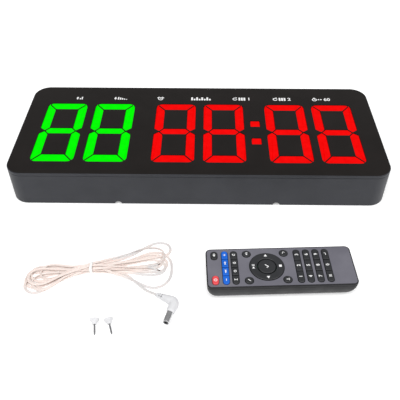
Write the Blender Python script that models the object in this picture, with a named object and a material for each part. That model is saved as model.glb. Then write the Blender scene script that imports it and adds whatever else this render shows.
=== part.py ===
"""Gym round timer set: a six-digit wall display, its infrared remote, its power lead and two wall nails.

Metres, +Z up. The display lies on its back with its face up. The origin is the centre of its back
face, +X runs along its long side and +Y points to its upper edge. The loose pieces lie below it.
"""

import math

import bmesh
import bpy
from mathutils import Matrix, Vector
from mathutils.geometry import interpolate_bezier

# Display case
CASE_WIDTH = 0.350
CASE_HEIGHT = 0.142
CASE_DEPTH = 0.0365
CASE_CORNER = 0.0157
CASE_WALL = 0.0024
CASE_LIP_WIDTH = 0.0060
CASE_LIP_DEPTH = 0.0020
PANEL_THICKNESS = 0.0026
PANEL_EDGE_ROUND = 0.0008
COVER_THICKNESS = 0.0024
GAP = 0.0003

# Digits
DIGIT_WIDTH = 0.0412
DIGIT_HEIGHT = 0.0940
DIGIT_CORNER = 0.0065
DIGIT_Y = -0.0065
DIGIT_CENTRES = (-0.1356, -0.0867, -0.02385, 0.02435, 0.0865, 0.1345)
UPRIGHT_WIDTH = 0.0095
END_BAR_HEIGHT = 0.0110
MIDDLE_BAR_HEIGHT = 0.0095
WAIST_DEPTH = 0.0055
WAIST_HALF_HEIGHT = 0.0045
WINDOW_WEB = 0.0006
LENS_GAP = 0.00025
LENS_SINK = 0.0002
DIGIT_BLOCK = (0.0460, 0.0970)
COLON_X = 0.0555
COLON_Y = -0.0072
COLON_SQUARE = 0.0102
COLON_PITCH = 0.0278
COLON_BLOCK = (0.0120, 0.0500)

# Fixings and sockets in the case
BOSS_INSET = 0.0097
BOSS_X = CASE_WIDTH / 2 - BOSS_INSET
BOSS_Y = CASE_HEIGHT / 2 - BOSS_INSET
BOSS_RADIUS = 0.0052
BOSS_BORE_RADIUS = 0.0016
BOSS_BORE_END = 0.0120
SCREW_HOLE_RADIUS = 0.0017
SCREW_POCKET_RADIUS = 0.0030
SCREW_SINK = 0.0016
SCREW_HEAD_RADIUS = 0.00265
SCREW_SHANK_RADIUS = 0.0013
SCREW_END = 0.0095
KEYHOLE_X = 0.110
KEYHOLE_Y = 0.022
KEYHOLE_RADIUS = 0.0048
KEYHOLE_SLOT_WIDTH = 0.0044
KEYHOLE_SLOT_LENGTH = 0.0110
VENT_GROUP_X = 0.045
VENT_PITCH = 0.0050
VENT_WIDTH = 0.0018
VENT_ENDS_Y = (-0.030, -0.014)
POSTS_X = (-0.155, 0.0, 0.155)
POSTS_Y = (-0.047, 0.038)
POST_RADIUS = 0.0030
PRY_NOTCHES_X = (-0.0745, 0.0730)
PRY_NOTCH_RADIUS = 0.0032
JACK_X = 0.120
JACK_Z = 0.017
JACK_DEPTH = 0.0133
JACK_HOLE_RADIUS = 0.0045
JACK_BORE_RADIUS = 0.0030
JACK_BORE_END = 0.0030
JACK_PIN_RADIUS = 0.0009

# Electronics
BOARD_WIDTH = 0.324
BOARD_HEIGHT = 0.096
BOARD_Y = -0.005
BOARD_BACK = 0.0170
BOARD_FRONT = 0.0186
CHIP_THICKNESS = 0.0020
BUZZER_PLACE = (0.020, -0.020, 0.0)
BUZZER_RADIUS = 0.0060
BUZZER_FACE = 0.0075
RECEIVER_PLACE = (-0.0553, 0.025, 0.0)

# Remote
REMOTE_LENGTH = 0.1195
REMOTE_WIDTH = 0.0400
REMOTE_DEPTH = 0.0160
REMOTE_CORNER = 0.0042
REMOTE_PLACE = (0.0678, -0.1578, 0.0)
REMOTE_TURN = math.radians(2.67)
REMOTE_SHELL_TOP = 0.0134
KEY_PROUD = 0.0007
KEY_BOTTOM = 0.0129
KEY_GAP = 0.00035
KEY_WIDTH = 0.0051
STRIP_HALF_LENGTH = 0.0169
STRIP_KEY_GAP = 0.0005
LONE_KEYS_X = 0.0069
CORNER_KEY_RADIUS = 0.00335
NAV_X = 0.0488
NAV_RADIUS = 0.0139
OK_RADIUS = 0.0073
BAY_X = 0.0310
BAY_LENGTH = 0.0460
BAY_WIDTH = 0.0218
DOOR_X = 0.0314
DOOR_LENGTH = 0.0462
DOOR_WIDTH = 0.0212
DOOR_THICKNESS = 0.0008
DOOR_SLOT_X = 0.0360
DOOR_SLOT_LENGTH = 0.0560
DOOR_SLOT_TOP = 0.0011
GRIPS_X = 0.0440
GRIP_PITCH = 0.0022
GRIP_WIDTH = 0.0010
GRIP_LENGTH = 0.0100
GRIP_DEPTH = 0.0003
CELL_RADIUS = 0.0050
CELL_LENGTH = 0.0430
CELL_TIP = 0.0010
CELL_AXIS_Y = 0.00525
CELL_AXIS_Z = 0.0061
LAMP_AXIS_Z = 0.0080
LAMP_SEAT = 0.0060
LAMP_HOLE_RADIUS = 0.0029

# Power lead and nails
LEAD_DIAMETER = 0.0023
PLUG_RADIUS = 0.0040
PLUG_AXIS_HEIGHT = 0.0041
BARREL_RADIUS = 0.00275
BARREL_BORE_RADIUS = 0.00105
HANK_HEIGHT = 0.0070
TIE_CENTRE = (-0.0873, -0.1505)
TIE_HALF_OPENING = 0.0043
TIE_CORNER = 0.0010
TIE_THICKNESS = 0.0009
TIE_WIDTH = 0.0022
NAIL_HEAD_RADIUS = 0.0039
NAIL_RIM = 0.0010
NAIL_HEAD_LENGTH = 0.0048
NAIL_PIN_RADIUS = 0.00065
NAIL_POINT = 0.0012
NAIL_LENGTH = 0.0132


def clear_scene():
    for obj in list(bpy.data.objects):
        bpy.data.objects.remove(obj, do_unlink=True)


# ---------------------------------------------------------------- materials


def material(name, colour, roughness, metallic=0.0):
    made = bpy.data.materials.new(name)
    made.use_nodes = True
    shader = made.node_tree.nodes["Principled BSDF"]
    shader.inputs["Base Color"].default_value = (*colour, 1.0)
    shader.inputs["Roughness"].default_value = roughness
    shader.inputs["Metallic"].default_value = metallic
    made.diffuse_color = (*colour, 1.0)
    return made


def make_materials():
    return {
        "case": material("case_plastic", (0.068, 0.070, 0.078), 0.45),
        "cover": material("cover_plastic", (0.030, 0.030, 0.033), 0.60),
        "panel": material("panel_plastic", (0.020, 0.018, 0.017), 0.35),
        "green": material("green_lens", (0.000, 0.850, 0.010), 0.30),
        "red": material("red_lens", (0.880, 0.005, 0.005), 0.30),
        "board": material("circuit_board", (0.020, 0.120, 0.045), 0.45),
        "black": material("black_plastic", (0.020, 0.020, 0.022), 0.40),
        "steel": material("steel", (0.550, 0.550, 0.560), 0.30, 1.0),
        "remote_face": material("remote_grey", (0.200, 0.200, 0.230), 0.35),
        "remote_black": material("remote_black", (0.022, 0.022, 0.026), 0.40),
        "key_black": material("key_black", (0.025, 0.026, 0.030), 0.50),
        "key_blue": material("key_blue", (0.030, 0.160, 0.600), 0.45),
        "key_red": material("key_red", (0.720, 0.060, 0.070), 0.45),
        "cell": material("cell_wrap", (0.080, 0.180, 0.120), 0.35),
        "lead": material("clear_lead", (0.800, 0.660, 0.640), 0.35),
        "white": material("white_plastic", (0.860, 0.860, 0.850), 0.40),
    }


# ---------------------------------------------------------------- outlines


def arc(centre, radius, start, end, steps):
    """Points from the angle start to the angle end, both included."""
    angles = [start + (end - start) * i / steps for i in range(steps + 1)]
    return [(centre[0] + radius * math.cos(a), centre[1] + radius * math.sin(a)) for a in angles]


def circle(radius, count, centre=(0.0, 0.0)):
    """It starts on the first corner's arc, so it has the same order as a rounded rectangle."""
    step = 2 * math.pi / count
    return arc(centre, radius, step / 2, 2 * math.pi - step / 2, count - 1)


def rounded_rectangle(width, height, radius, steps=6, centre=(0.0, 0.0)):
    points = []
    for corner, (sx, sy) in enumerate(((1, 1), (-1, 1), (-1, -1), (1, -1))):
        middle = (centre[0] + sx * (width / 2 - radius), centre[1] + sy * (height / 2 - radius))
        start = corner * math.pi / 2
        points += arc(middle, radius, start, start + math.pi / 2, steps)
    return points


def rectangle(width, height, centre=(0.0, 0.0)):
    x, y = centre
    w, h = width / 2, height / 2
    return [(x + w, y + h), (x - w, y + h), (x - w, y - h), (x + w, y - h)]


def strip_outline(x, low, high, width, round_low, round_high, steps=6):
    """A slot-shaped outline along Y, each end round or square."""
    half = width / 2
    points = [(x + half, high), (x - half, high)]
    if round_high:
        points = arc((x, high - half), half, 0.0, math.pi, steps)
    if round_low:
        return points + arc((x, low + half), half, math.pi, 2 * math.pi, steps)
    return points + [(x - half, low), (x + half, low)]


def inset(points, amount):
    """A convex outline moved inwards, its points running anticlockwise."""
    lines = []
    for i, (x, y) in enumerate(points):
        nx, ny = points[(i + 1) % len(points)]
        length = math.hypot(nx - x, ny - y)
        normal = (-(ny - y) / length, (nx - x) / length)
        lines.append((normal, normal[0] * x + normal[1] * y + amount))
    inner = []
    for i, ((bx, by), b) in enumerate(lines):
        (ax, ay), a = lines[i - 1]
        cross = ax * by - ay * bx
        inner.append(((a * by - b * ay) / cross, (ax * b - bx * a) / cross))
    return inner


def moved(points, x, y):
    return [(px + x, py + y) for px, py in points]


def keyhole(x, y, radius, slot_width, slot_length):
    """A round entry hole with a narrow slot above it."""
    half = slot_width / 2
    meet = math.acos(half / radius)
    entry = arc((x, y), radius, math.pi - meet, 2 * math.pi + meet, 12)
    return arc((x, y + slot_length), half, 0.0, math.pi, 6) + entry


def smooth_loop(points, steps):
    """A closed smooth curve through the points, with steps points for each one."""
    made = []
    count = len(points)
    for i in range(count):
        p0, p1, p2, p3 = (Vector((*points[(i + k - 1) % count], 0.0)) for k in range(4))
        piece = interpolate_bezier(p1, p1 + (p2 - p0) / 6, p2 - (p3 - p1) / 6, p2, steps + 1)
        made += [(p.x, p.y) for p in piece[:-1]]
    return made


def smooth_path(points, steps):
    """An open smooth curve through the points, with steps points between each two."""
    ends = [2 * points[0] - points[1], *points, 2 * points[-1] - points[-2]]
    made = []
    for i in range(1, len(ends) - 2):
        p0, p1, p2, p3 = ends[i - 1 : i + 3]
        made += interpolate_bezier(p1, p1 + (p2 - p0) / 6, p2 - (p3 - p1) / 6, p2, steps + 1)[:-1]
    return [*made, points[-1]]


# ---------------------------------------------------------------- solids


def add_walls(bm, low, high):
    for i in range(len(low)):
        bm.faces.new((low[i - 1], low[i], high[i], high[i - 1]))


def add_rings(bm, levels):
    return [[bm.verts.new((x, y, z)) for x, y in outline] for outline, z in levels]


def add_stack(bm, levels):
    """Joins outlines of one length, each at its height, and closes the two ends."""
    rings = add_rings(bm, levels)
    for low, high in zip(rings, rings[1:]):
        add_walls(bm, low, high)
    bm.faces.new(rings[0])
    bm.faces.new(rings[-1])


def stack(levels):
    bm = bmesh.new()
    add_stack(bm, levels)
    return bm


def turned(profile, count=16):
    """A solid turned about Z from (radius, height) pairs."""
    return stack([(circle(radius, count), z) for radius, z in profile])


def closed_ring(levels):
    """A ring whose section is closed: the last outline joins the first."""
    bm = bmesh.new()
    rings = add_rings(bm, levels)
    for k, high in enumerate(rings):
        add_walls(bm, rings[k - 1], high)
    return bm


def filled_sheet(bm, loops, z):
    """A flat sheet with holes: the first loop is its outer edge. Returns the loops' vertices."""
    rings = [[bm.verts.new((x, y, z)) for x, y in loop] for loop in loops]
    edges = [bm.edges.new((ring[i - 1], ring[i])) for ring in rings for i in range(len(ring))]
    bmesh.ops.triangle_fill(bm, use_beauty=True, edges=edges)
    return rings


def plate(outline, holes, low, high, edge_round=0.0, stepped_holes=()):
    """A flat plate with through holes. edge_round softens its outer edge at the top.

    A stepped hole is a list of (outline, height) pairs from the bottom face to the top face.
    """
    bm = bmesh.new()
    wells = [*stepped_holes, *[[(hole, low), (hole, high)] for hole in holes]]
    bottom = filled_sheet(bm, [outline, *[well[0][0] for well in wells]], low)
    top = filled_sheet(bm, [inset(outline, edge_round), *[well[-1][0] for well in wells]], high)
    rims = []
    if edge_round:
        for step_in, drop in ((0.0, 1.0), (0.3, 0.3)):
            rims.append((inset(outline, step_in * edge_round), high - drop * edge_round))
    for first, last, levels in zip(bottom, top, [rims, *[well[1:-1] for well in wells]]):
        rings = [first, *add_rings(bm, levels), last]
        for below, above in zip(rings, rings[1:]):
            add_walls(bm, below, above)
    return bm


def studded_block(outline, studs, base, face, stud_end):
    """A block whose face carries raised studs, all one piece."""
    bm = bmesh.new()
    bottom = [bm.verts.new((x, y, base)) for x, y in outline]
    bm.faces.new(bottom)
    rings = filled_sheet(bm, [outline, *studs], face)
    add_walls(bm, bottom, rings[0])
    for stud, ring in zip(studs, rings[1:]):
        top = [bm.verts.new((x, y, stud_end)) for x, y in stud]
        add_walls(bm, ring, top)
        bm.faces.new(top)
    return bm


def swept(sections, count):
    """A round bar along (centre, radius) pairs."""
    bm = bmesh.new()
    centres = [centre for centre, _ in sections]
    rings = []
    for i, (centre, radius) in enumerate(sections):
        along = (centres[min(i + 1, len(centres) - 1)] - centres[max(i - 1, 0)]).normalized()
        side = along.cross(Vector((0, 0, 1))).normalized()
        up = side.cross(along)
        ring = [centre + side * x + up * y for x, y in circle(radius, count)]
        rings.append([bm.verts.new(point) for point in ring])
    for low, high in zip(rings, rings[1:]):
        add_walls(bm, low, high)
    bm.faces.new(rings[0])
    bm.faces.new(rings[-1])
    return bm


def add_object(name, bm, made_of, parent=None, place=None, smooth=False):
    bmesh.ops.recalc_face_normals(bm, faces=bm.faces)
    mesh = bpy.data.meshes.new(name)
    bm.to_mesh(mesh)
    bm.free()
    if made_of:
        mesh.materials.append(made_of)
    if smooth:
        mesh.shade_smooth()
        mesh.set_sharp_from_angle(angle=math.radians(35))
    obj = bpy.data.objects.new(name, mesh)
    bpy.context.scene.collection.objects.link(obj)
    obj.parent = parent
    if place:
        obj.matrix_basis = place
    return obj


def helper(name, bm, parent=None, place=None):
    """A cutter or an addition, which is no part of its own."""
    obj = add_object(name, bm, None, parent, place)
    obj.hide_render = True
    obj.display_type = "WIRE"
    return obj


def combine(obj, other, operation):
    modifier = obj.modifiers.new(f"{operation.lower()}_{other.name}", "BOOLEAN")
    modifier.operation = operation
    modifier.solver = "EXACT"
    modifier.object = other


def cut(obj, cutter):
    combine(obj, cutter, "DIFFERENCE")


def weld_on(obj, addition):
    combine(obj, addition, "UNION")


def along_y(x, y, z):
    """Turns a piece's own Z to +Y and moves it."""
    return Matrix.Translation((x, y, z)) @ Matrix.Rotation(-math.pi / 2, 4, "X")


def along_x(x, y, z, direction=1):
    """Turns a piece's own Z to +X or -X and moves it."""
    return Matrix.Translation((x, y, z)) @ Matrix.Rotation(direction * math.pi / 2, 4, "Y")


# ---------------------------------------------------------------- display case


def case_outline(step_in):
    width, height = CASE_WIDTH - 2 * step_in, CASE_HEIGHT - 2 * step_in
    return rounded_rectangle(width, height, CASE_CORNER - step_in)


def pry_notch_cutter():
    """Two short bars along Y through the near wall and the rear cover's edge."""
    near = CASE_HEIGHT / 2
    bm = bmesh.new()
    for x in PRY_NOTCHES_X:
        notch = circle(PRY_NOTCH_RADIUS, 16, (x, 0.0))
        add_stack(bm, [(notch, near - 0.0055), (notch, near + 0.0020)])
    return helper("pry_notch_cutter", bm, place=Matrix.Rotation(math.pi / 2, 4, "X"))


def corners(x, y):
    return [(sx * x, sy * y) for sx in (-1, 1) for sy in (-1, 1)]


def make_housing(mats, notch_cutter):
    top = CASE_DEPTH - PANEL_THICKNESS - GAP
    section = (
        (0.0008, 0.0),
        (0.0002, 0.0003),
        (0.0, 0.0010),
        (0.0, top - 0.0006),
        (0.0002, top - 0.0002),
        (0.0006, top),
        (CASE_LIP_WIDTH, top),
        (CASE_LIP_WIDTH, top - CASE_LIP_DEPTH),
        (CASE_WALL, top - CASE_LIP_DEPTH - 0.0008),
        (CASE_WALL, 0.0),
    )
    shell = closed_ring([(case_outline(step_in), z) for step_in, z in section])
    housing = add_object("housing", shell, mats["case"], smooth=True)
    bosses = bmesh.new()
    bores = bmesh.new()
    for centre in corners(BOSS_X, BOSS_Y):
        boss, bore = circle(BOSS_RADIUS, 20, centre), circle(BOSS_BORE_RADIUS, 12, centre)
        add_stack(bosses, [(boss, COVER_THICKNESS + GAP), (boss, top - 0.0010)])
        add_stack(bores, [(bore, 0.0), (bore, BOSS_BORE_END)])
    weld_on(housing, helper("housing_bosses", bosses))
    cut(housing, helper("housing_boss_bores", bores))
    jack_hole = stack([(circle(JACK_HOLE_RADIUS, 20), z) for z in (-0.004, 0.004)])
    cut(housing, helper("jack_hole_cutter", jack_hole, place=along_y(JACK_X, CASE_HEIGHT / 2, JACK_Z)))
    cut(housing, notch_cutter)


def vent_slots():
    low, high = VENT_ENDS_Y
    return [
        strip_outline(side * VENT_GROUP_X + k * VENT_PITCH, low, high, VENT_WIDTH, True, True, 4)
        for side in (-1, 1)
        for k in range(-2, 3)
    ]


def make_rear_cover(mats, notch_cutter):
    """The screw holes have a pocket that sinks the screw's head below the face."""
    screw_holes = []
    for centre in corners(BOSS_X, BOSS_Y):
        pocket, hole = circle(SCREW_POCKET_RADIUS, 16, centre), circle(SCREW_HOLE_RADIUS, 16, centre)
        levels = [(pocket, 0.0), (pocket, SCREW_SINK), (hole, SCREW_SINK), (hole, COVER_THICKNESS)]
        screw_holes.append(levels)
    holes = [
        keyhole(side * KEYHOLE_X, KEYHOLE_Y, KEYHOLE_RADIUS, KEYHOLE_SLOT_WIDTH, KEYHOLE_SLOT_LENGTH)
        for side in (-1, 1)
    ]
    outline = case_outline(CASE_WALL + GAP)
    bm = plate(outline, holes + vent_slots(), 0.0, COVER_THICKNESS, stepped_holes=screw_holes)
    cover = add_object("rear_cover", bm, mats["cover"])
    posts = bmesh.new()
    for x in POSTS_X:
        for y in POSTS_Y:
            post = circle(POST_RADIUS, 12, (x, y))
            add_stack(posts, [(post, COVER_THICKNESS - 0.0010), (post, BOARD_BACK - GAP)])
    weld_on(cover, helper("board_posts", posts))
    cut(cover, notch_cutter)


def make_cover_screws(mats):
    """Pan-headed screws with a driver socket. Each head stops just short of its pocket's floor."""
    head_top = SCREW_SINK - GAP
    profile = (
        (0.0010, 0.0007),
        (0.0010, 0.00015),
        (0.0023, 0.00015),
        (SCREW_HEAD_RADIUS, 0.0005),
        (SCREW_HEAD_RADIUS, head_top),
        (SCREW_SHANK_RADIUS, head_top),
        (SCREW_SHANK_RADIUS, SCREW_END - 0.0010),
        (0.0006, SCREW_END),
    )
    for number, (x, y) in enumerate(corners(BOSS_X, BOSS_Y), 1):
        place = Matrix.Translation((x, y, 0.0))
        add_object(f"cover_screw_{number}", turned(profile, 12), mats["steel"], place=place, smooth=True)


# ---------------------------------------------------------------- digits


def segment_outlines():
    """The seven bars of one digit about its centre, touching along their mitres."""
    w, h = DIGIT_WIDTH / 2, DIGIT_HEIGHT / 2
    inner_x = w - UPRIGHT_WIDTH
    inner_y = h - END_BAR_HEIGHT
    tip_x = w - WAIST_DEPTH
    corner = (w - DIGIT_CORNER, h - DIGIT_CORNER)
    right_half = arc(corner, DIGIT_CORNER, 0.0, math.pi / 4, 2)
    top_half = arc(corner, DIGIT_CORNER, math.pi / 4, math.pi / 2, 2)
    upright = [
        (tip_x, 0.0),
        (w, WAIST_HALF_HEIGHT),
        *right_half,
        (inner_x, inner_y),
        (inner_x, MIDDLE_BAR_HEIGHT / 2),
    ]
    top = [*top_half, *[(-x, y) for x, y in reversed(top_half)], (-inner_x, inner_y), (inner_x, inner_y)]
    half_middle = MIDDLE_BAR_HEIGHT / 2
    middle = [(tip_x, 0.0), (inner_x, half_middle), (-inner_x, half_middle), (-tip_x, 0.0)]
    middle += [(-inner_x, -half_middle), (inner_x, -half_middle)]
    return [
        top,
        upright,
        [(-x, y) for x, y in reversed(upright)],
        middle,
        [(x, -y) for x, y in reversed(upright)],
        [(-x, -y) for x, y in upright],
        [(x, -y) for x, y in reversed(top)],
    ]


def colon_squares():
    return [rectangle(COLON_SQUARE, COLON_SQUARE, (0.0, y)) for y in (COLON_PITCH / 2, -COLON_PITCH / 2)]


def face_groups():
    """Each lit group of the face: its centre and the outlines of its windows."""
    digits = [((x, DIGIT_Y), segment_outlines()) for x in DIGIT_CENTRES]
    return [*digits, ((COLON_X, COLON_Y), colon_squares())]


def make_front_panel(mats):
    windows = []
    for (x, y), outlines in face_groups():
        windows += [moved(inset(outline, WINDOW_WEB / 2), x, y) for outline in outlines]
    bm = plate(case_outline(0.0), windows, CASE_DEPTH - PANEL_THICKNESS, CASE_DEPTH, PANEL_EDGE_ROUND)
    add_object("front_panel", bm, mats["panel"])


def make_display_modules(mats):
    names = [f"digit_module_{number}" for number in range(1, 7)] + ["colon_module"]
    face = CASE_DEPTH - PANEL_THICKNESS - GAP
    for name, ((x, y), outlines) in zip(names, face_groups()):
        block = rectangle(*(COLON_BLOCK if name == "colon_module" else DIGIT_BLOCK))
        lenses = [inset(outline, WINDOW_WEB / 2 + LENS_GAP) for outline in outlines]
        bm = studded_block(block, lenses, BOARD_FRONT + GAP, face, CASE_DEPTH - LENS_SINK)
        colour = "green" if name in ("digit_module_1", "digit_module_2") else "red"
        add_object(name, bm, mats[colour], place=Matrix.Translation((x, y, 0.0)))


# ---------------------------------------------------------------- electronics


def make_main_board(mats):
    """The board carries three chips on its back."""
    chips = [
        rectangle(0.0140, 0.0140, (-0.030, -0.010)),
        rectangle(0.0100, 0.0070, (0.060, 0.010)),
        rectangle(0.0080, 0.0060, (0.100, -0.020)),
    ]
    outline = rectangle(BOARD_WIDTH, BOARD_HEIGHT, (0.0, BOARD_Y))
    bm = studded_block(outline, chips, BOARD_FRONT, BOARD_BACK, BOARD_BACK - CHIP_THICKNESS)
    add_object("main_board", bm, mats["board"])


def make_buzzer(mats):
    """A round can under the board with a small sound hole in its face."""
    profile = (
        (BUZZER_RADIUS, BOARD_BACK - GAP),
        (BUZZER_RADIUS, BUZZER_FACE + 0.0004),
        (BUZZER_RADIUS - 0.0004, BUZZER_FACE),
        (0.0010, BUZZER_FACE),
        (0.0010, BUZZER_FACE + 0.0015),
    )
    place = Matrix.Translation(BUZZER_PLACE)
    add_object("buzzer", turned(profile, 20), mats["black"], place=place, smooth=True)


def make_dc_jack(mats):
    """A socket block, its round bore and the contact pin standing in it."""
    block = rounded_rectangle(0.0090, 0.0110, 0.0010, 3)
    bore, pin = circle(JACK_BORE_RADIUS, 16), circle(JACK_PIN_RADIUS, 16)
    levels = [
        (block, 0.0),
        (block, JACK_DEPTH),
        (bore, JACK_DEPTH),
        (bore, JACK_BORE_END),
        (pin, JACK_BORE_END),
        (pin, JACK_DEPTH - 0.0010),
    ]
    y = CASE_HEIGHT / 2 - CASE_WALL - GAP - JACK_DEPTH
    add_object("dc_jack", stack(levels), mats["black"], place=along_y(JACK_X, y, JACK_Z))


def make_ir_receiver(mats):
    """The infrared receiver stands on the board with its dome under the face."""
    body = rounded_rectangle(0.0058, 0.0066, 0.0008, 3)
    low = BOARD_FRONT + GAP
    dome = ((0.0024, 0.0055), (0.0023, 0.0066), (0.0016, 0.0076), (0.0007, 0.0080))
    levels = [(body, low), (body, low + 0.0050), *[(circle(r, 16), low + z) for r, z in dome]]
    add_object("ir_receiver", stack(levels), mats["black"], place=Matrix.Translation(RECEIVER_PLACE))


# ---------------------------------------------------------------- remote


def remote_outline(step_in):
    radius = REMOTE_CORNER + 0.3 * step_in
    return rounded_rectangle(REMOTE_LENGTH - 2 * step_in, REMOTE_WIDTH - 2 * step_in, radius, 5)


def from_left(distance):
    """Distance from the remote's infrared end, as X about its middle."""
    return distance - REMOTE_LENGTH / 2


def strip_keys(names, x, colour):
    """A strip of keys side by side, round at its two ends."""
    pitch = 2 * STRIP_HALF_LENGTH / len(names)
    keys = []
    for i, name in enumerate(names):
        first, last = i == 0, i == len(names) - 1
        low = -STRIP_HALF_LENGTH + i * pitch + (0.0 if first else STRIP_KEY_GAP / 2)
        high = -STRIP_HALF_LENGTH + (i + 1) * pitch - (0.0 if last else STRIP_KEY_GAP / 2)
        outline = strip_outline(x, low, high, KEY_WIDTH, first, last)
        keys.append((f"key_{name}", outline, colour))
    return keys


# Each strip's distance from the infrared end, its keys and their colour.
STRIPS = (
    (0.0154, ("minus", "fast_back", "fast_forward", "plus"), "key_blue"),
    (0.0230, ("timer", "clock", "stopwatch", "rounds"), "key_black"),
    (0.0745, ("1", "2", "3"), "key_black"),
    (0.0823, ("4", "5", "6"), "key_black"),
    (0.0901, ("7", "8", "9"), "key_black"),
    (0.0979, ("menu", "0", "enter"), "key_black"),
)
# Name, y, length and colour.
LONE_KEYS = (("key_power", -0.0126, 0.0087, "key_red"), ("key_mute", 0.0126, 0.0085, "key_black"))
# Name, distance from the infrared end, and y.
CORNER_KEYS = (
    ("key_edit", 0.0335, -0.0136),
    ("key_sound", 0.0335, 0.0136),
    ("key_save", 0.0639, -0.0136),
    ("key_return", 0.0639, 0.0136),
)


def key_windows():
    """Openings of the remote's face: one for each strip, lone key, corner key and the ring."""
    width = KEY_WIDTH + 2 * KEY_GAP
    reach = STRIP_HALF_LENGTH + KEY_GAP
    windows = [strip_outline(from_left(x), -reach, reach, width, True, True) for x, *_ in STRIPS]
    for _, y, length, _ in LONE_KEYS:
        half = length / 2 + KEY_GAP
        windows.append(strip_outline(from_left(LONE_KEYS_X), y - half, y + half, width, True, True))
    for _, x, y in CORNER_KEYS:
        windows.append(circle(CORNER_KEY_RADIUS + KEY_GAP, 16, (from_left(x), y)))
    windows.append(circle(NAV_RADIUS + KEY_GAP, 32, (from_left(NAV_X), 0.0)))
    return windows


def make_remote_top_shell(mats, remote):
    bm = plate(remote_outline(0.0), key_windows(), REMOTE_SHELL_TOP + GAP, REMOTE_DEPTH, edge_round=0.0006)
    add_object("remote_top_shell", bm, mats["remote_face"], remote)


def make_remote_bottom_shell(mats, remote):
    """A shell with a rounded belly, the battery bay's opening and the hole of the infrared lamp."""
    belly = ((0.0050, 0.0), (0.0037, 0.0010), (0.0023, 0.0030), (0.0011, 0.0060), (0.0003, 0.0095))
    outer = [*[(remote_outline(step_in), z) for step_in, z in belly], (remote_outline(0.0), REMOTE_SHELL_TOP)]
    shell = add_object("remote_bottom_shell", stack(outer), mats["remote_black"], remote, smooth=True)
    hollow = ((0.0052, 0.0015), (0.0039, 0.0030), (0.0027, 0.0060), (0.0018, 0.0095), (0.0015, 0.0150))
    cavity = stack([(remote_outline(step_in), z) for step_in, z in hollow])
    cut(shell, helper("remote_cavity", cavity, remote))
    bay = stack([(rectangle(BAY_LENGTH, BAY_WIDTH, (BAY_X, 0.0)), z) for z in (-0.001, 0.0020)])
    cut(shell, helper("battery_bay_cutter", bay, remote))
    slot_outline = rectangle(DOOR_SLOT_LENGTH, BAY_WIDTH, (DOOR_SLOT_X, 0.0))
    slot = stack([(slot_outline, -0.001), (slot_outline, DOOR_SLOT_TOP)])
    cut(shell, helper("door_slot_cutter", slot, remote))
    lamp_hole = stack([(circle(LAMP_HOLE_RADIUS, 16), z) for z in (-0.004, 0.004)])
    place = along_x(-REMOTE_LENGTH / 2, 0.0, LAMP_AXIS_Z)
    cut(shell, helper("lamp_hole_cutter", lamp_hole, remote, place))


def make_battery_door(mats, remote):
    """A flat door with grip grooves across its free end."""
    outline = rectangle(DOOR_LENGTH, DOOR_WIDTH, (DOOR_X, 0.0))
    bm = stack([(outline, 0.0), (outline, DOOR_THICKNESS)])
    door = add_object("battery_door", bm, mats["remote_black"], remote)
    grooves = bmesh.new()
    for k in range(4):
        groove = rectangle(GRIP_WIDTH, GRIP_LENGTH, (GRIPS_X + k * GRIP_PITCH, 0.0))
        add_stack(grooves, [(groove, -0.0010), (groove, GRIP_DEPTH)])
    cut(door, helper("grip_grooves", grooves, remote))


def make_cells(mats, remote):
    """Two cells side by side, head to tail, each made up from its flat end."""
    edge, tip_radius = 0.0004, 0.0019
    profile = (
        (CELL_RADIUS - edge, 0.0),
        (CELL_RADIUS, edge),
        (CELL_RADIUS, CELL_LENGTH - edge),
        (CELL_RADIUS - edge, CELL_LENGTH),
        (tip_radius, CELL_LENGTH),
        (tip_radius, CELL_LENGTH + CELL_TIP),
    )
    for number, direction in enumerate((1, -1), 1):
        x = BAY_X - direction * (CELL_LENGTH + CELL_TIP) / 2
        place = along_x(x, -direction * CELL_AXIS_Y, CELL_AXIS_Z, direction)
        add_object(f"aaa_cell_{number}", turned(profile, 20), mats["cell"], remote, place, True)


def make_remote_inside(mats, remote):
    board = rounded_rectangle(0.1080, 0.0340, 0.0020, 2)
    add_object("remote_board", stack([(board, 0.0114), (board, 0.0120)]), mats["board"], remote)
    lamp = ((0.0034, 0.0), (0.0034, 0.0010), (0.0025, 0.0010), (0.0025, 0.0038))
    lamp += ((0.0023, 0.0045), (0.0016, 0.0052), (0.0006, 0.0056))
    place = along_x(-REMOTE_LENGTH / 2 + LAMP_SEAT, 0.0, LAMP_AXIS_Z, -1)
    add_object("ir_lamp", turned(lamp, 16), mats["black"], remote, place, True)


def key_solid(outline, chamfer=0.00025):
    top = REMOTE_DEPTH + KEY_PROUD
    return stack([(outline, KEY_BOTTOM), (outline, top - chamfer), (inset(outline, chamfer), top)])


def make_keys(mats, remote):
    """Every key, and the ring round the middle one."""
    keys = []
    for x, names, colour in STRIPS:
        keys += strip_keys(names, from_left(x), colour)
    for name, y, length, colour in LONE_KEYS:
        outline = strip_outline(from_left(LONE_KEYS_X), y - length / 2, y + length / 2, KEY_WIDTH, True, True)
        keys.append((name, outline, colour))
    for name, x, y in CORNER_KEYS:
        keys.append((name, circle(CORNER_KEY_RADIUS, 16, (from_left(x), y)), "key_black"))
    keys.append(("key_ok", circle(OK_RADIUS, 24, (from_left(NAV_X), 0.0)), "key_black"))
    for name, outline, colour in keys:
        add_object(name, key_solid(outline), mats[colour], remote)
    top = REMOTE_DEPTH + KEY_PROUD
    inner = OK_RADIUS + KEY_GAP
    section = (
        (inner, KEY_BOTTOM),
        (NAV_RADIUS, KEY_BOTTOM),
        (NAV_RADIUS, top - 0.0004),
        (NAV_RADIUS - 0.0004, top),
        (inner + 0.0003, top),
        (inner, top - 0.0003),
    )
    bm = closed_ring([(circle(radius, 32), z) for radius, z in section])
    place = Matrix.Translation((from_left(NAV_X), 0.0, 0.0))
    add_object("key_ring", bm, mats["key_black"], remote, place)


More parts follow.
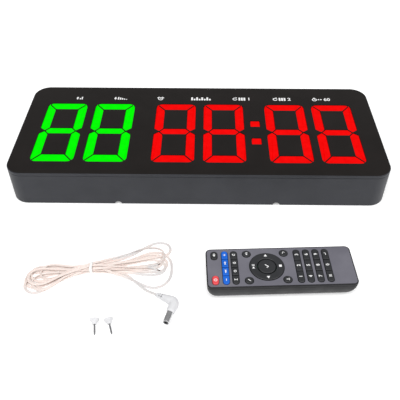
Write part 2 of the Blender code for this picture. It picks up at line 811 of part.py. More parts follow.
def make_remote(mats):
    remote = bpy.data.objects.new("remote_place", None)
    bpy.context.scene.collection.objects.link(remote)
    remote.location = REMOTE_PLACE
    remote.rotation_euler = (0.0, 0.0, REMOTE_TURN)
    make_remote_top_shell(mats, remote)
    make_remote_bottom_shell(mats, remote)
    make_battery_door(mats, remote)
    make_cells(mats, remote)
    make_remote_inside(mats, remote)
    make_keys(mats, remote)


# ---------------------------------------------------------------- power lead

PLUG_ROUTE = (
    Vector((-0.0311, -0.1778, 0.0032)),
    Vector((-0.0250, -0.1808, 0.0039)),
    Vector((-0.0205, -0.1830, PLUG_AXIS_HEIGHT)),
    Vector((-0.0178, -0.1848, PLUG_AXIS_HEIGHT)),
    Vector((-0.0170, -0.1878, PLUG_AXIS_HEIGHT)),
    Vector((-0.0196, -0.1953, PLUG_AXIS_HEIGHT)),
)
BARREL_END = Vector((-0.0222, -0.2044, PLUG_AXIS_HEIGHT))
LEAD_ROUTE = (
    Vector((-0.0314, -0.17765, 0.00315)),
    Vector((-0.0345, -0.1757, 0.0026)),
    Vector((-0.0380, -0.1735, 0.0017)),
    Vector((-0.0420, -0.1705, 0.0012)),
    Vector((-0.0460, -0.1671, 0.0012)),
    Vector((-0.0500, -0.1634, 0.0012)),
    Vector((-0.0530, -0.1603, 0.0012)),
    Vector((-0.0547, -0.1586, 0.0012)),
)
HANK_OUTLINE = (
    (-0.0873, -0.1544),
    (-0.0640, -0.1551),
    (-0.0540, -0.1570),
    (-0.0440, -0.1641),
    (-0.0310, -0.1693),
    (-0.0215, -0.1640),
    (-0.0195, -0.1500),
    (-0.0225, -0.1300),
    (-0.0310, -0.1190),
    (-0.0420, -0.1240),
    (-0.0600, -0.1350),
    (-0.0760, -0.1430),
    (-0.0873, -0.1466),
    (-0.1080, -0.1470),
    (-0.1300, -0.1475),
    (-0.1405, -0.1590),
    (-0.1380, -0.1715),
    (-0.1260, -0.1762),
    (-0.1120, -0.1700),
    (-0.0985, -0.1575),
)


def make_plug(mats):
    """A ribbed strain relief that runs into a round elbow, and the barrel in its mouth."""
    relief_start, relief_end, shoulder, bend_start, bend_end, mouth = PLUG_ROUTE
    ribs = 6
    sections = []
    for i in range(ribs + 1):
        share = i / ribs
        radius = 0.0017 + 0.0011 * share + (0.0004 if i % 2 else 0.0)
        sections.append((relief_start.lerp(relief_end, share), radius))
    sections.append((relief_end.lerp(shoulder, 0.25), PLUG_RADIUS - 0.0006))
    sections.append((relief_end.lerp(shoulder, 0.5), PLUG_RADIUS))
    sections += [(point, PLUG_RADIUS) for point in (shoulder, bend_start, bend_end)]
    sections.append((bend_end.lerp(mouth, 0.9), PLUG_RADIUS - 0.0001))
    sections.append((mouth, PLUG_RADIUS - 0.0007))
    add_object("plug_body", swept(sections, 14), mats["white"], smooth=True)
    axis = (BARREL_END - mouth).normalized()
    start = mouth + axis * GAP
    length = (BARREL_END - start).length
    section = (
        (BARREL_BORE_RADIUS, 0.0),
        (BARREL_RADIUS, 0.0),
        (BARREL_RADIUS, length - 0.0003),
        (BARREL_RADIUS - 0.0003, length),
        (BARREL_BORE_RADIUS, length),
    )
    place = Matrix.Translation(start) @ axis.to_track_quat("Z", "Y").to_matrix().to_4x4()
    bm = closed_ring([(circle(radius, 16), z) for radius, z in section])
    add_object("plug_barrel", bm, mats["steel"], place=place, smooth=True)


def make_lead(mats):
    """The stretch of lead between the plug and the hank."""
    route = smooth_path(LEAD_ROUTE, 2)
    curve = bpy.data.curves.new("lead", "CURVE")
    curve.dimensions = "3D"
    curve.bevel_depth = LEAD_DIAMETER / 2
    curve.bevel_resolution = 2
    curve.use_fill_caps = True
    spline = curve.splines.new("POLY")
    spline.points.add(len(route) - 1)
    for point, place in zip(spline.points, route):
        point.co = (*place, 1.0)
    curve.materials.append(mats["lead"])
    bpy.context.scene.collection.objects.link(bpy.data.objects.new("lead", curve))


def make_hank(mats):
    """The space of the folded lead, and the band that ties it."""
    outline = smooth_loop(HANK_OUTLINE, 3)
    bm = stack([(outline, 0.0), (outline, HANK_HEIGHT)])
    add_object("lead_hank", bm, mats["lead"])
    corner = (TIE_HALF_OPENING - TIE_CORNER, HANK_HEIGHT + GAP - TIE_CORNER)
    outer = [(TIE_HALF_OPENING + TIE_THICKNESS, 0.0)]
    outer += arc(corner, TIE_CORNER + TIE_THICKNESS, 0.0, math.pi / 2, 3)
    inner = [(TIE_HALF_OPENING, 0.0), *arc(corner, TIE_CORNER, 0.0, math.pi / 2, 2)]
    right = outer + [(-x, z) for x, z in reversed(outer)]
    arch = right + [(-x, z) for x, z in inner] + list(reversed(inner))
    place = Matrix.Translation((*TIE_CENTRE, 0.0)) @ Matrix.Rotation(math.pi / 2, 4, "Z")
    place = place @ Matrix.Rotation(math.pi / 2, 4, "X")
    band = stack([(arch, -TIE_WIDTH / 2), (arch, TIE_WIDTH / 2)])
    add_object("hank_tie", band, mats["white"], place=place)


# ---------------------------------------------------------------- wall nails

NAILS = (
    ("wall_nail_1", (-0.0772, -0.2010), (-0.0757, -0.2132)),
    ("wall_nail_2", (-0.0667, -0.2008), (-0.0628, -0.2124)),
)


def make_nails(mats):
    """Each nail lies on the rim of its head and the tip of its pin."""
    profile = (
        (0.0033, 0.0),
        (NAIL_HEAD_RADIUS, NAIL_RIM / 2),
        (NAIL_HEAD_RADIUS, NAIL_RIM),
        (0.0017, NAIL_HEAD_LENGTH),
        (NAIL_PIN_RADIUS, NAIL_HEAD_LENGTH),
        (NAIL_PIN_RADIUS, NAIL_LENGTH - NAIL_POINT),
        (0.00015, NAIL_LENGTH),
    )
    drop = math.atan((NAIL_HEAD_RADIUS - NAIL_PIN_RADIUS) / (NAIL_LENGTH - NAIL_POINT - NAIL_RIM))
    for name, head, tip in NAILS:
        flat = (Vector((*tip, 0.0)) - Vector((*head, 0.0))).normalized()
        axis = flat * math.cos(drop) - Vector((0, 0, math.sin(drop)))
        rim_height = NAIL_HEAD_RADIUS * math.cos(drop) + NAIL_RIM * math.sin(drop)
        start = Vector((*head, rim_height))
        place = Matrix.Translation(start) @ axis.to_track_quat("Z", "Y").to_matrix().to_4x4()
        add_object(name, turned(profile, 20), mats["white"], place=place, smooth=True)


def main():
    clear_scene()
    mats = make_materials()
    notch_cutter = pry_notch_cutter()
    make_housing(mats, notch_cutter)
    make_rear_cover(mats, notch_cutter)
    make_cover_screws(mats)
    make_front_panel(mats)
    make_display_modules(mats)
    make_main_board(mats)
    make_buzzer(mats)
    make_dc_jack(mats)
    make_ir_receiver(mats)
    make_remote(mats)
    make_plug(mats)
    make_lead(mats)
    make_hank(mats)
    make_nails(mats)


main()
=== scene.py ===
from math import acos, atan, atan2, cos, degrees, hypot, pi, radians, sin, tan

import bmesh
import bpy
import numpy as np
from mathutils import Matrix, Vector


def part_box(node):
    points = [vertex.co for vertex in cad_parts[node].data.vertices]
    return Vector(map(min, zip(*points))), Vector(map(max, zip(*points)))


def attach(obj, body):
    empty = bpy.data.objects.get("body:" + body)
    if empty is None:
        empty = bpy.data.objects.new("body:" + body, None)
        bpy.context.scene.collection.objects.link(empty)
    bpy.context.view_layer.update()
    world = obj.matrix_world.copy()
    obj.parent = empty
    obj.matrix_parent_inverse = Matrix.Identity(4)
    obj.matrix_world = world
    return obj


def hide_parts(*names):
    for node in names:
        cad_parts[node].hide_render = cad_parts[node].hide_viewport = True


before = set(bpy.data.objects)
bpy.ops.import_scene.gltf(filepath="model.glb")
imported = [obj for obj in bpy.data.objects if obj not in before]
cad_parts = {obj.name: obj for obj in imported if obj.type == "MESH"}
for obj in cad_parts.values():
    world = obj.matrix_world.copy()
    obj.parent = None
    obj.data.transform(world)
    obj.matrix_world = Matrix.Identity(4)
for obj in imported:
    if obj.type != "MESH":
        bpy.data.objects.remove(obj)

MM = 0.001
UP = Vector((0.0, 0.0, 1.0))
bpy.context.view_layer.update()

# ---------------- camera, light and floor

# The place is in metres, the angles are in degrees and the lens is in millimetres.
CAMERA_PLACE = (0.007739, -0.446661, 0.366155)
CAMERA_PITCH = 43.811
CAMERA_YAW = -0.889
CAMERA_ROLL = -0.119
CAMERA_LENS = 50.4
WORLD_STRENGTH = 0.42
FLOOR_SIZE = 6.0
FLOOR_HEIGHTS = (-0.02, -0.0002)


def link(name, data):
    obj = bpy.data.objects.new(name, data)
    bpy.context.scene.collection.objects.link(obj)
    return obj


def add_camera():
    data = bpy.data.cameras.new("camera")
    data.lens = CAMERA_LENS
    data.clip_start = 0.01
    camera = link("camera", data)
    turn = spin(-CAMERA_YAW) @ spin(90 - CAMERA_PITCH, "X") @ spin(CAMERA_ROLL)
    camera.matrix_world = Matrix.Translation(CAMERA_PLACE) @ turn
    bpy.context.scene.camera = camera


def add_softbox(name, place, target, size, energy):
    data = bpy.data.lights.new(name, "AREA")
    data.shape = "RECTANGLE"
    data.size, data.size_y = size
    data.energy = energy
    lamp = link(name, data)
    aim = (Vector(target) - Vector(place)).to_track_quat("-Z", "Y").to_matrix().to_4x4()
    lamp.matrix_world = Matrix.Translation(place) @ aim


def add_studio():
    world = bpy.data.worlds.new("studio")
    bpy.context.scene.world = world
    world.use_nodes = True
    sky = world.node_tree.nodes["Background"]
    sky.inputs["Color"].default_value = (1.0, 1.0, 1.0, 1.0)
    sky.inputs["Strength"].default_value = WORLD_STRENGTH
    add_softbox("key_light", (-0.55, -0.75, 1.15), (0.0, -0.05, 0.0), (0.9, 0.7), 9.0)
    add_softbox("fill_light", (0.85, -0.45, 0.9), (0.0, -0.05, 0.0), (0.8, 0.8), 5.0)
    add_softbox("top_light", (0.0, -0.25, 1.6), (0.0, -0.1, 0.0), (1.4, 0.9), 9.0)
    # Colours are shown as they are, so that the lit digits keep their pure green and red.
    bpy.context.scene.view_settings.view_transform = "Standard"


def make_floor():
    sheet_of_paper = block(rounded_rectangle(FLOOR_SIZE, FLOOR_SIZE, 0.5, 8), *FLOOR_HEIGHTS)
    solid("floor", sheet_of_paper, ["floor_paint"])


# ---------------- materials

MATERIALS = {}
DRIFT = 0.025
BLEND_ENDS = (0.35, 0.65)
# Noises: the size of their spots in metres, their detail and how they are stretched.
BRUSHED = (0.0006, 4.0, (1.0, 1.0, 0.1))
POLISHED = (0.0006, 4.0)
TRACES = (0.004, 1.0, (1.0, 3.0, 1.0))


def add_node(tree, kind, values=(), **settings):
    node = tree.nodes.new(kind)
    for key, value in settings.items():
        setattr(node, key, value)
    for key, value in dict(values).items():
        node.inputs[key].default_value = value
    return node


def noise(tree, size, detail=3.0, stretch=(1.0, 1.0, 1.0)):
    """Noise whose spots are about size metres across."""
    place = add_node(tree, "ShaderNodeTexCoord")
    scaled = add_node(tree, "ShaderNodeMapping", {"Scale": stretch})
    node = add_node(tree, "ShaderNodeTexNoise", {"Scale": 1.0 / size, "Detail": detail})
    tree.links.new(place.outputs["Object"], scaled.inputs["Vector"])
    tree.links.new(scaled.outputs["Vector"], node.inputs["Vector"])
    return node.outputs["Fac"]


def colour_between(tree, factor, low, high, ends=BLEND_ENDS):
    ramp = add_node(tree, "ShaderNodeValToRGB")
    first, last = ramp.color_ramp.elements
    first.position, last.position = ends
    first.color, last.color = (*low, 1.0), (*high, 1.0)
    tree.links.new(factor, ramp.inputs["Fac"])
    return ramp.outputs["Color"]


def finish(name, shades, roughness, patches, gloss, relief=(), depth=0.0, ends=BLEND_ENDS, **inputs):
    """A material that pieces find by its name. Its colour, its roughness and its relief each follow a noise.

    Each noise is given by its arguments. inputs go to the shader, by their names with _ for a space.
    """
    made = MATERIALS[name] = bpy.data.materials.new(name)
    made.use_nodes = True
    tree, shader = made.node_tree, made.node_tree.nodes["Principled BSDF"]
    tree.links.new(colour_between(tree, noise(tree, *patches), *shades, ends), shader.inputs["Base Color"])
    spread = {"From Min": 0.3, "From Max": 0.7, "To Min": roughness[0], "To Max": roughness[1]}
    between = add_node(tree, "ShaderNodeMapRange", spread)
    tree.links.new(noise(tree, *gloss), between.inputs["Value"])
    tree.links.new(between.outputs["Result"], shader.inputs["Roughness"])
    if relief:
        bump = add_node(tree, "ShaderNodeBump", {"Distance": depth, "Strength": 1.0})
        tree.links.new(noise(tree, *relief), bump.inputs["Height"])
        tree.links.new(bump.outputs["Normal"], shader.inputs["Normal"])
    for key, value in inputs.items():
        shader.inputs[key.replace("_", " ")].default_value = value
    return tree, shader


def plastic(name, dark, light, roughness, grain=0.0004, depth=0.00001, specular=0.5):
    """Moulded plastic: colour and gloss drift a little over a fine grain."""
    noises = (DRIFT,), (DRIFT / 3,), (grain, 2.0)
    finish(name, (dark, light), roughness, *noises, depth, Specular_IOR_Level=specular)


def metal(name, dark, light, roughness, marks=BRUSHED):
    """Metal whose gloss follows its fine marks."""
    finish(name, (dark, light), roughness, (0.004,), marks, marks, 0.000005, Metallic=1.0)


def lens(name, dark, light):
    """A lit diffuser: a faint mottle, and a surface too matt to mirror the room."""
    unlit = [tuple(0.05 * c for c in shade) for shade in (dark, light)]
    noises = (0.003,), (0.002,), (0.0006,)
    lit = {"Emission_Strength": 1.0, "Specular_IOR_Level": 0.02}
    tree, shader = finish(name, unlit, (0.45, 0.6), *noises, 0.00001, **lit)
    tree.links.new(colour_between(tree, noise(tree, 0.006), dark, light), shader.inputs["Emission Color"])


def wire_sheath(name, alone, together):
    """Clear flexible sheath whose colour is painted light: greyer for a strand alone and pinker where many
    lie together, for the light that passes through stacked strands.
    """
    soft = {"Subsurface_Weight": 0.2, "Subsurface_Radius": (0.0024, 0.002, 0.002), "Subsurface_Scale": 0.4}
    noises = (0.02,), (0.003,), (0.0015,)
    tree, shader = finish(name, (alone, together), (0.22, 0.38), *noises, 0.00003, (0.45, 1.0), **soft)
    blend = shader.inputs["Base Color"].links[0].from_node.inputs["Fac"]
    # Painted light: the more strands crowd about a point, the pinker its colour.
    painted_bundle_light = add_node(tree, "ShaderNodeAttribute", attribute_name="painted_bundle_light")
    drift = add_node(tree, "ShaderNodeMath", {1: 0.9}, operation="MULTIPLY_ADD")
    tree.links.new(blend.links[0].from_socket, drift.inputs[0])
    tree.links.new(painted_bundle_light.outputs["Fac"], drift.inputs[2])
    tree.links.new(drift.outputs["Value"], blend)


def make_materials():
    plastic("case_plastic", (0.0187, 0.0202, 0.0255), (0.0233, 0.0248, 0.0310), (0.42, 0.5), specular=0.34)
    plastic("cover_plastic", (0.024, 0.024, 0.027), (0.032, 0.032, 0.035), (0.55, 0.68), 0.0007, 0.00004)
    plastic("panel_plastic", (0.0070, 0.0052, 0.0045), (0.0092, 0.0070, 0.0062), (0.34, 0.42),
            0.0005, 0.000004, 0.18)
    plastic("printed_white", (0.78, 0.78, 0.78), (0.86, 0.86, 0.86), (0.5, 0.6))
    plastic("black_plastic", (0.016, 0.016, 0.018), (0.022, 0.022, 0.024), (0.35, 0.45))
    plastic("remote_grey", (0.120, 0.117, 0.142), (0.150, 0.147, 0.174), (0.3, 0.38), 0.0003, 0.000008)
    plastic("remote_black", (0.009, 0.009, 0.010), (0.014, 0.014, 0.016), (0.36, 0.5), 0.0006, 0.00002, 0.25)
    plastic("key_black", (0.012, 0.013, 0.015), (0.017, 0.018, 0.021), (0.42, 0.52))
    plastic("key_blue", (0.006, 0.104, 0.50), (0.011, 0.122, 0.58), (0.38, 0.48), specular=0.2)
    plastic("key_red", (0.62, 0.045, 0.055), (0.72, 0.065, 0.075), (0.38, 0.48))
    plastic("cell_wrap", (0.050, 0.130, 0.080), (0.075, 0.170, 0.110), (0.22, 0.32))
    plastic("white_plastic", (0.64, 0.64, 0.655), (0.70, 0.70, 0.715), (0.34, 0.44), 0.0005, 0.000008)
    plastic("tie_white", (0.80, 0.80, 0.79), (0.86, 0.86, 0.85), (0.4, 0.5))
    lens("green_light", (0.0, 0.88, 0.0), (0.0, 0.97, 0.0))
    lens("red_light", (0.84, 0.001, 0.001), (0.93, 0.002, 0.002))
    metal("steel", (0.54, 0.54, 0.55), (0.64, 0.64, 0.65), (0.14, 0.24))
    metal("dark_steel", (0.10, 0.10, 0.105), (0.16, 0.16, 0.165), (0.25, 0.4))
    # Painted shade: the wire ends' copper is made far darker than tinned metal, for the shade among the
    # hank's loops about them.
    metal("copper_in_painted_shade", (0.10, 0.075, 0.062), (0.15, 0.115, 0.095), (0.3, 0.45), POLISHED)
    # Painted light: the clear lead is pinker where strands lie together and greyer alone.
    wire_sheath("clear_lead", (0.64, 0.615, 0.61), (0.78, 0.675, 0.63))
    mask = ((0.010, 0.085, 0.030), (0.020, 0.150, 0.055))
    finish("circuit_board", mask, (0.25, 0.4), TRACES, (0.01,), TRACES, 0.00003, (0.48, 0.52))
    # White paper lit through from below, as on a product table, so that shadows on it stay faint.
    glow = {"Emission_Color": (1.0, 1.0, 1.0, 1.0), "Emission_Strength": 0.3}
    finish("floor_paint", ((0.88, 0.88, 0.88), (0.90, 0.90, 0.90)), (0.75, 0.85), (0.4,), (0.05,), **glow)


# ---------------- outlines


def arc(centre, radius, start, end, steps):
    """Points from the angle start to the angle end, both included."""
    angles = [start + (end - start) * i / steps for i in range(steps + 1)]
    return [(centre[0] + radius * cos(a), centre[1] + radius * sin(a)) for a in angles]


def circle(radius, count, centre=(0.0, 0.0)):
    """Its points run from the right, as a rounded rectangle's do, so that the two can be joined."""
    step = 2 * pi / count
    return arc(centre, radius, step / 2, 2 * pi - step / 2, count - 1)


def rounded_rectangle(width, height, radius, steps=6, centre=(0.0, 0.0)):
    points = []
    for corner, (sx, sy) in enumerate(((1, 1), (-1, 1), (-1, -1), (1, -1))):
        middle = (centre[0] + sx * (width / 2 - radius), centre[1] + sy * (height / 2 - radius))
        start = corner * pi / 2
        points += arc(middle, radius, start, start + pi / 2, steps)
    return points


def inset(points, amount):
    """An outline moved inwards, its points running anticlockwise."""
    lines = []
    for i, (x, y) in enumerate(points):
        nx, ny = points[(i + 1) % len(points)]
        length = hypot(nx - x, ny - y)
        normal = (-(ny - y) / length, (nx - x) / length)
        lines.append((normal, normal[0] * x + normal[1] * y + amount))
    inner = []
    for i, ((bx, by), b) in enumerate(lines):
        (ax, ay), a = lines[i - 1]
        cross = ax * by - ay * bx
        inner.append(((a * by - b * ay) / cross, (ax * b - bx * a) / cross))
    return inner


def softened(points, radius, steps=4):
    """The outline with its corners rounded, but for those that turn under 20 degrees.

    A corner takes up less than half of either of its sides.
    """
    made = []
    for i, here in enumerate(points):
        p = Vector(here)
        before, after = Vector(points[i - 1]) - p, Vector(points[(i + 1) % len(points)]) - p
        if before.angle(-after) < radians(20):
            made.append(here)
            continue
        a, b = (p + side.normalized() * min(radius, side.length * 0.45) for side in (before, after))
        for k in range(steps + 1):
            s = k / steps
            q = a * (1 - s) ** 2 + p * 2 * s * (1 - s) + b * s**2
            made.append((q.x, q.y))
    return made


def quarter(radius, steps=4):
    """A rounded edge as (inset, drop below the face) pairs, from the side to the face."""
    turns = [pi / 2 * i / steps for i in range(steps + 1)]
    return [(radius * (1 - cos(a)), radius * (1 - sin(a))) for a in turns]


# ---------------- meshes

SHARP_EDGE = radians(38)


def ring_at(bm, outline, z):
    return [bm.verts.new((x, y, z)) for x, y in outline]


def skin(bm, rings, paint=0, ends=True):
    """Walls from ring to ring, with a face over the first and the last where there are ends."""
    for low, high in zip(rings, rings[1:]):
        for i in range(len(low)):
            bm.faces.new((low[i - 1], low[i], high[i], high[i - 1])).material_index = paint
    if ends:
        for ring in (rings[0], rings[-1]):
            bm.faces.new(ring).material_index = paint
    return bm


def loft(levels, paint=0, closed=False, onto=None):
    """Joins outlines of one length, each at its height. Where closed, the last is joined to the first."""
    bm = onto or bmesh.new()
    rings = [ring_at(bm, outline, z) for outline, z in levels]
    return skin(bm, [*rings, rings[0]] if closed else rings, paint, not closed)


def block(outline, low, high, onto=None):
    return loft([(outline, low), (outline, high)], onto=onto)


def turned(profile, count, paint=0, closed=False, onto=None):
    """Turned about Z from (radius, height) pairs."""
    return loft([(circle(radius, count), z) for radius, z in profile], paint, closed, onto)


def shift(x, y, z=0.0):
    return Matrix.Translation((x, y, z))


def spin(angle, axis="Z"):
    """A turn by angle degrees about an axis."""
    return Matrix.Rotation(radians(angle), 4, axis)


def moved(bm, matrix):
    bmesh.ops.transform(bm, matrix=matrix, verts=bm.verts)
    return bm


def sheet(bm, loops, z):
    """A flat sheet with holes: the first loop is its outer edge. Returns the loops' vertices."""
    rings = [ring_at(bm, loop, z) for loop in loops]
    edges = [bm.edges.new((ring[i - 1], ring[i])) for ring in rings for i in range(len(ring))]
    bmesh.ops.triangle_fill(bm, use_beauty=True, edges=edges)
    return rings


def plate(outline, wells, low, high, rim, rim_paint=0):
    """A plate with a rim of (inset, drop) pairs at its top edge, the last drop being 0.

    A well is a through hole as (outline, height) pairs from the bottom face to the top face.
    """
    bm = bmesh.new()
    side = [(outline, low), *[(inset(outline, step), high - drop) for step, drop in rim]]
    sides = [side, *wells]
    bottom = sheet(bm, [levels[0][0] for levels in sides], low)
    top = sheet(bm, [levels[-1][0] for levels in sides], high)
    for number, (first, last, levels) in enumerate(zip(bottom, top, sides)):
        between = [ring_at(bm, points, z) for points, z in levels[1:-1]]
        skin(bm, [first, *between, last], 0 if number else rim_paint, ends=False)
    return bm


def lipped_hole(outline, low, high, lip):
    """A through hole whose top edge is eased by lip."""
    return [(outline, low), (outline, high - lip), (inset(outline, -0.3 * lip), high - 0.3 * lip),
            (inset(outline, -lip), high)]


def tube(centres, sections, ups=None):
    """Joins sections of (side, up) pairs, one at each of the centres. ups says which way up each is."""
    bm = bmesh.new()
    rings = []
    for i, (centre, section) in enumerate(zip(centres, sections)):
        along = (centres[min(i + 1, len(centres) - 1)] - centres[max(i - 1, 0)]).normalized()
        side = along.cross(ups[i] if ups else UP).normalized()
        up = side.cross(along)
        rings.append([bm.verts.new(centre + side * x + up * y) for x, y in section])
    return skin(bm, rings)


def solid(name, bm, paints=()):
    """Turns bm into an object with its paints, smooth but for its sharp edges."""
    bmesh.ops.recalc_face_normals(bm, faces=bm.faces)
    mesh = bpy.data.meshes.new(name)
    bm.to_mesh(mesh)
    bm.free()
    for paint in paints:
        mesh.materials.append(MATERIALS[paint])
    mesh.shade_smooth()
    mesh.set_sharp_from_angle(angle=SHARP_EDGE)
    return link(name, mesh)


def piece(name, bm, body, slot, replaces=(), place=Matrix.Identity(4), paints=()):
    """Makes a piece from millimetres, hangs it on its body's empty and hides the CAD nodes it stands for.

    Where it names no paints, it has the one that is called as its slot.
    """
    obj = solid(name, moved(bm, Matrix.Scale(MM, 4) @ place), paints or [slot])
    obj.modifiers.new("flat_faces", "WEIGHTED_NORMAL").keep_sharp = True
    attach(obj, body)
    if replaces:
        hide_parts(*replaces)
    return obj


def read_back(obj):
    """A new bmesh of the object as it is evaluated."""
    mesh = bpy.data.meshes.new_from_object(obj.evaluated_get(bpy.context.evaluated_depsgraph_get()))
    bm = bmesh.new()
    bm.from_mesh(mesh)
    bpy.data.meshes.remove(mesh)
    return bm


def carved(bm, cutters):
    """bm with the closed meshes of cutters taken out of it. It uses them all up."""
    body, *others = helpers = [solid("carving", shape) for shape in (bm, *cutters)]
    for cutter in others:
        modifier = body.modifiers.new("carve", "BOOLEAN")
        modifier.operation = "DIFFERENCE"
        modifier.solver = "EXACT"
        modifier.object = cutter
    result = read_back(body)
    for helper in helpers:
        bpy.data.objects.remove(helper, do_unlink=True)
    return result


# ---------------- power lead

LEAD_WIDTH = 2.3
LEAD_THICKNESS = 1.15
# The route's points are in metres, and the rest in millimetres.
LEAD_ROUTE = (
    (-0.0314, -0.17765, 0.00315),
    (-0.0345, -0.1757, 0.0026),
    (-0.0380, -0.1735, 0.0017),
    (-0.0420, -0.1705, 0.0012),
    (-0.0460, -0.1671, 0.0012),
    (-0.0500, -0.1634, 0.0012),
    (-0.0530, -0.1603, 0.0012),
    (-0.0547, -0.1586, 0.0012),
)
LEAD_TO_TIE = ((-59.0, -155.6, 1.2), (-67.0, -153.6, 1.2), (-77.0, -153.0, 1.25))
LEAD_END = ((-66.0, -149.4, 5.4), (-52.0, -149.2, 5.2), (-40.4, -148.8, 5.0))
TIE = (-87.3, -150.5)
TIE_COLUMN = 2.3
TIE_ROW = 1.15
LOWEST_PASS = 0.8
# Each fold of the hank: side, tip x, y coming in, y going out, height, and how far its first leg bows out.
FOLDS = (
    (-1, -139.5, -151.0, -166.6, 0.7, 0.0),
    (1, -26.5, -155.6, -140.0, 0.7, 0.0),
    (-1, -140.0, -154.4, -170.0, 1.5, 0.0),
    (1, -25.0, -152.0, -136.4, 1.6, 0.0),
    (-1, -136.0, -148.6, -164.2, 2.4, 0.0),
    (1, -29.0, -149.4, -133.8, 2.6, 0.0),
    (-1, -133.5, -157.0, -172.6, 2.6, 0.0),
    (1, -20.6, -168.6, -132.0, 1.4, -1.0),
    (-1, -139.0, -175.4, -159.8, 1.6, 0.0),
    (1, -22.8, -120.4, -136.2, 3.4, -0.5),
    (-1, -129.0, -147.4, -163.0, 3.8, 0.0),
    (1, -27.5, -127.0, -145.5, 4.4, 3.0),
    (-1, -137.5, -152.6, -168.2, 4.6, 0.0),
)
# Column and row of each pass through the tie.
PASSES = (
    (-1, 0), (0, 0), (1, 0), (0, 1), (1, 1), (-1, 1), (-1, 2),
    (1, 2), (0, 2), (1, 3), (0, 3), (1, 4), (-1, 3), (0, 4),
)
LEG_SHARES = (0.17, 0.6)
FOLD_REACH = 11.0
HELD_AT_TIE = 2.5
HELD_AT_PLUG = 16
ROUGH_SPACING = 2.4
LEAD_SPACING = 1.3
SMOOTH_REACH = 8
CROWD_REACH = 5.0
CROWD_COUNT = 30
CROWD_FREE = 0.15
CROWD_SKIP = 12

# Each wave of the lead's twist: its height in radians, its length and its start.
TWISTS = ((0.75, 31, 0.0), (0.45, 19, 1.3), (0.3, 67, 0.4))
FLAT_AT_TIE = 6
FREE_OF_TIE = 22
FREE_OF_PLUG = 60
FLOOR_ROOM = 0.03

# How strands that lie in each other settle: they move aside less readily than up.
STRAND_GAP = 1.75
NEAR_POINTS = 5
LOWEST_CENTRE = 0.64
PUSH_RATE = 0.35
PUSH_WEIGHTS = np.array((0.35, 0.35, 1.0))
SINK_STEP = 0.03
SINK_SHARE = 0.8
SETTLE_ROUNDS = 140

CORE_OFFSET = 0.55
CORE_SPREAD = 2.2
CORE_LENGTH = 8.0
CORE_DROP = 0.4
CORE_RADIUS = 0.58
# The tinned strands' distances past the end of their sheath, and their radii there.
STRANDS = ((-0.4, 0.36), (0.8, 0.38), (1.6, 0.36), (2.2, 0.3), (2.4, 0.12))


def natural_spline(points, spacing):
    """A smooth curve through the points over their chords, with points spaced evenly along it."""
    p = np.array(points, float)
    steps = np.diff(p, axis=0)
    h = np.linalg.norm(steps, axis=1)
    system, right = np.eye(len(p)), np.zeros_like(p)
    right[1:-1] = 6 * np.diff(steps / h[:, None], axis=0)
    for i in range(1, len(h)):
        system[i, i - 1 : i + 2] = h[i - 1], 2 * (h[i - 1] + h[i]), h[i]
    bend = np.linalg.solve(system, right)
    dense = []
    for chord, start, end, low, high in zip(h, p, p[1:], bend, bend[1:]):
        t = np.linspace(0, chord, max(8, int(4 * chord / spacing)), endpoint=False)[:, None]
        curve = (low * (chord - t) ** 3 + high * t**3) / (6 * chord)
        curve += (start / chord - low * chord / 6) * (chord - t)
        dense.append(curve + (end / chord - high * chord / 6) * t)
    dense = np.vstack([*dense, p[-1:]])
    run = np.concatenate([[0], np.cumsum(np.linalg.norm(np.diff(dense, axis=0), axis=1))])
    even = np.linspace(0, run[-1], int(round(run[-1] / spacing)) + 1)
    return np.stack([np.interp(even, run, axis) for axis in dense.T], axis=1)


def tie_point(number):
    column, row = PASSES[number]
    return (TIE[0], TIE[1] + column * TIE_COLUMN, LOWEST_PASS + row * TIE_ROW)


def fold_points(fold, before, after):
    """Points of one fold, from just past the tie out to the tip and back."""
    side, tip, y_in, y_out, level, bow_out = fold
    half = (y_out - y_in) / 2
    reach = min(abs(half), FOLD_REACH)
    start = tip - side * reach

    def leg_point(share, knot, goal, bow=0.0):
        _, y, z = knot
        ease = share**1.15
        side_step = (goal - y) * ease + bow * sin(pi * share)
        return (TIE[0] + (start - TIE[0]) * share, y + side_step, z + (level - z) * ease)

    points = [leg_point(share, before, y_in, bow_out) for share in LEG_SHARES]
    for a in [pi * k / 4 for k in range(5)]:
        points.append((start + side * reach * sin(a), (y_in + y_out) / 2 - half * cos(a), level))
    return points + [leg_point(share, after, y_out) for share in reversed(LEG_SHARES)]


def points_apart(route):
    """How far apart along the route each two of its points are, as a count."""
    index = np.arange(len(route))
    return np.abs(index[:, None] - index[None, :])


def settle(route, held):
    """Strands that lie in each other move apart and then down, in smooth moves only."""
    offset = np.zeros_like(route)
    near = points_apart(route) < NEAR_POINTS
    for number in range(SETTLE_ROUNDS):
        p = route + offset
        apart = p[:, None, :] - p[None, :, :]
        distance = np.sqrt((apart**2).sum(axis=2)) + 1e-6
        push = np.where((distance < STRAND_GAP) & ~near, STRAND_GAP - distance, 0.0)
        direction = apart * PUSH_WEIGHTS / distance[:, :, None]
        move = PUSH_RATE * (direction * push[:, :, None]).sum(axis=1)
        if number < SINK_SHARE * SETTLE_ROUNDS:
            move[:, 2] -= SINK_STEP
        offset += move
        offset[held] = 0.0
        offset[1:-1] = 0.5 * offset[1:-1] + 0.25 * (offset[:-2] + offset[2:])
        offset[:, 2] = np.maximum(offset[:, 2], LOWEST_CENTRE - route[:, 2])
    return route + offset


def hank_route():
    """The lead's centreline in millimetres: from the plug into the hank, fold by fold, to its free end."""
    points = [*(Vector(point) / MM for point in LEAD_ROUTE), *LEAD_TO_TIE, tie_point(0)]
    for number, fold in enumerate(FOLDS):
        points += fold_points(fold, tie_point(number), tie_point(number + 1))
        points.append(tie_point(number + 1))
    rough = natural_spline([*points, *LEAD_END], ROUGH_SPACING)
    held = np.abs(rough[:, 0] - TIE[0]) < HELD_AT_TIE
    held[:HELD_AT_PLUG] = True
    return natural_spline(settle(rough, held), LEAD_SPACING)


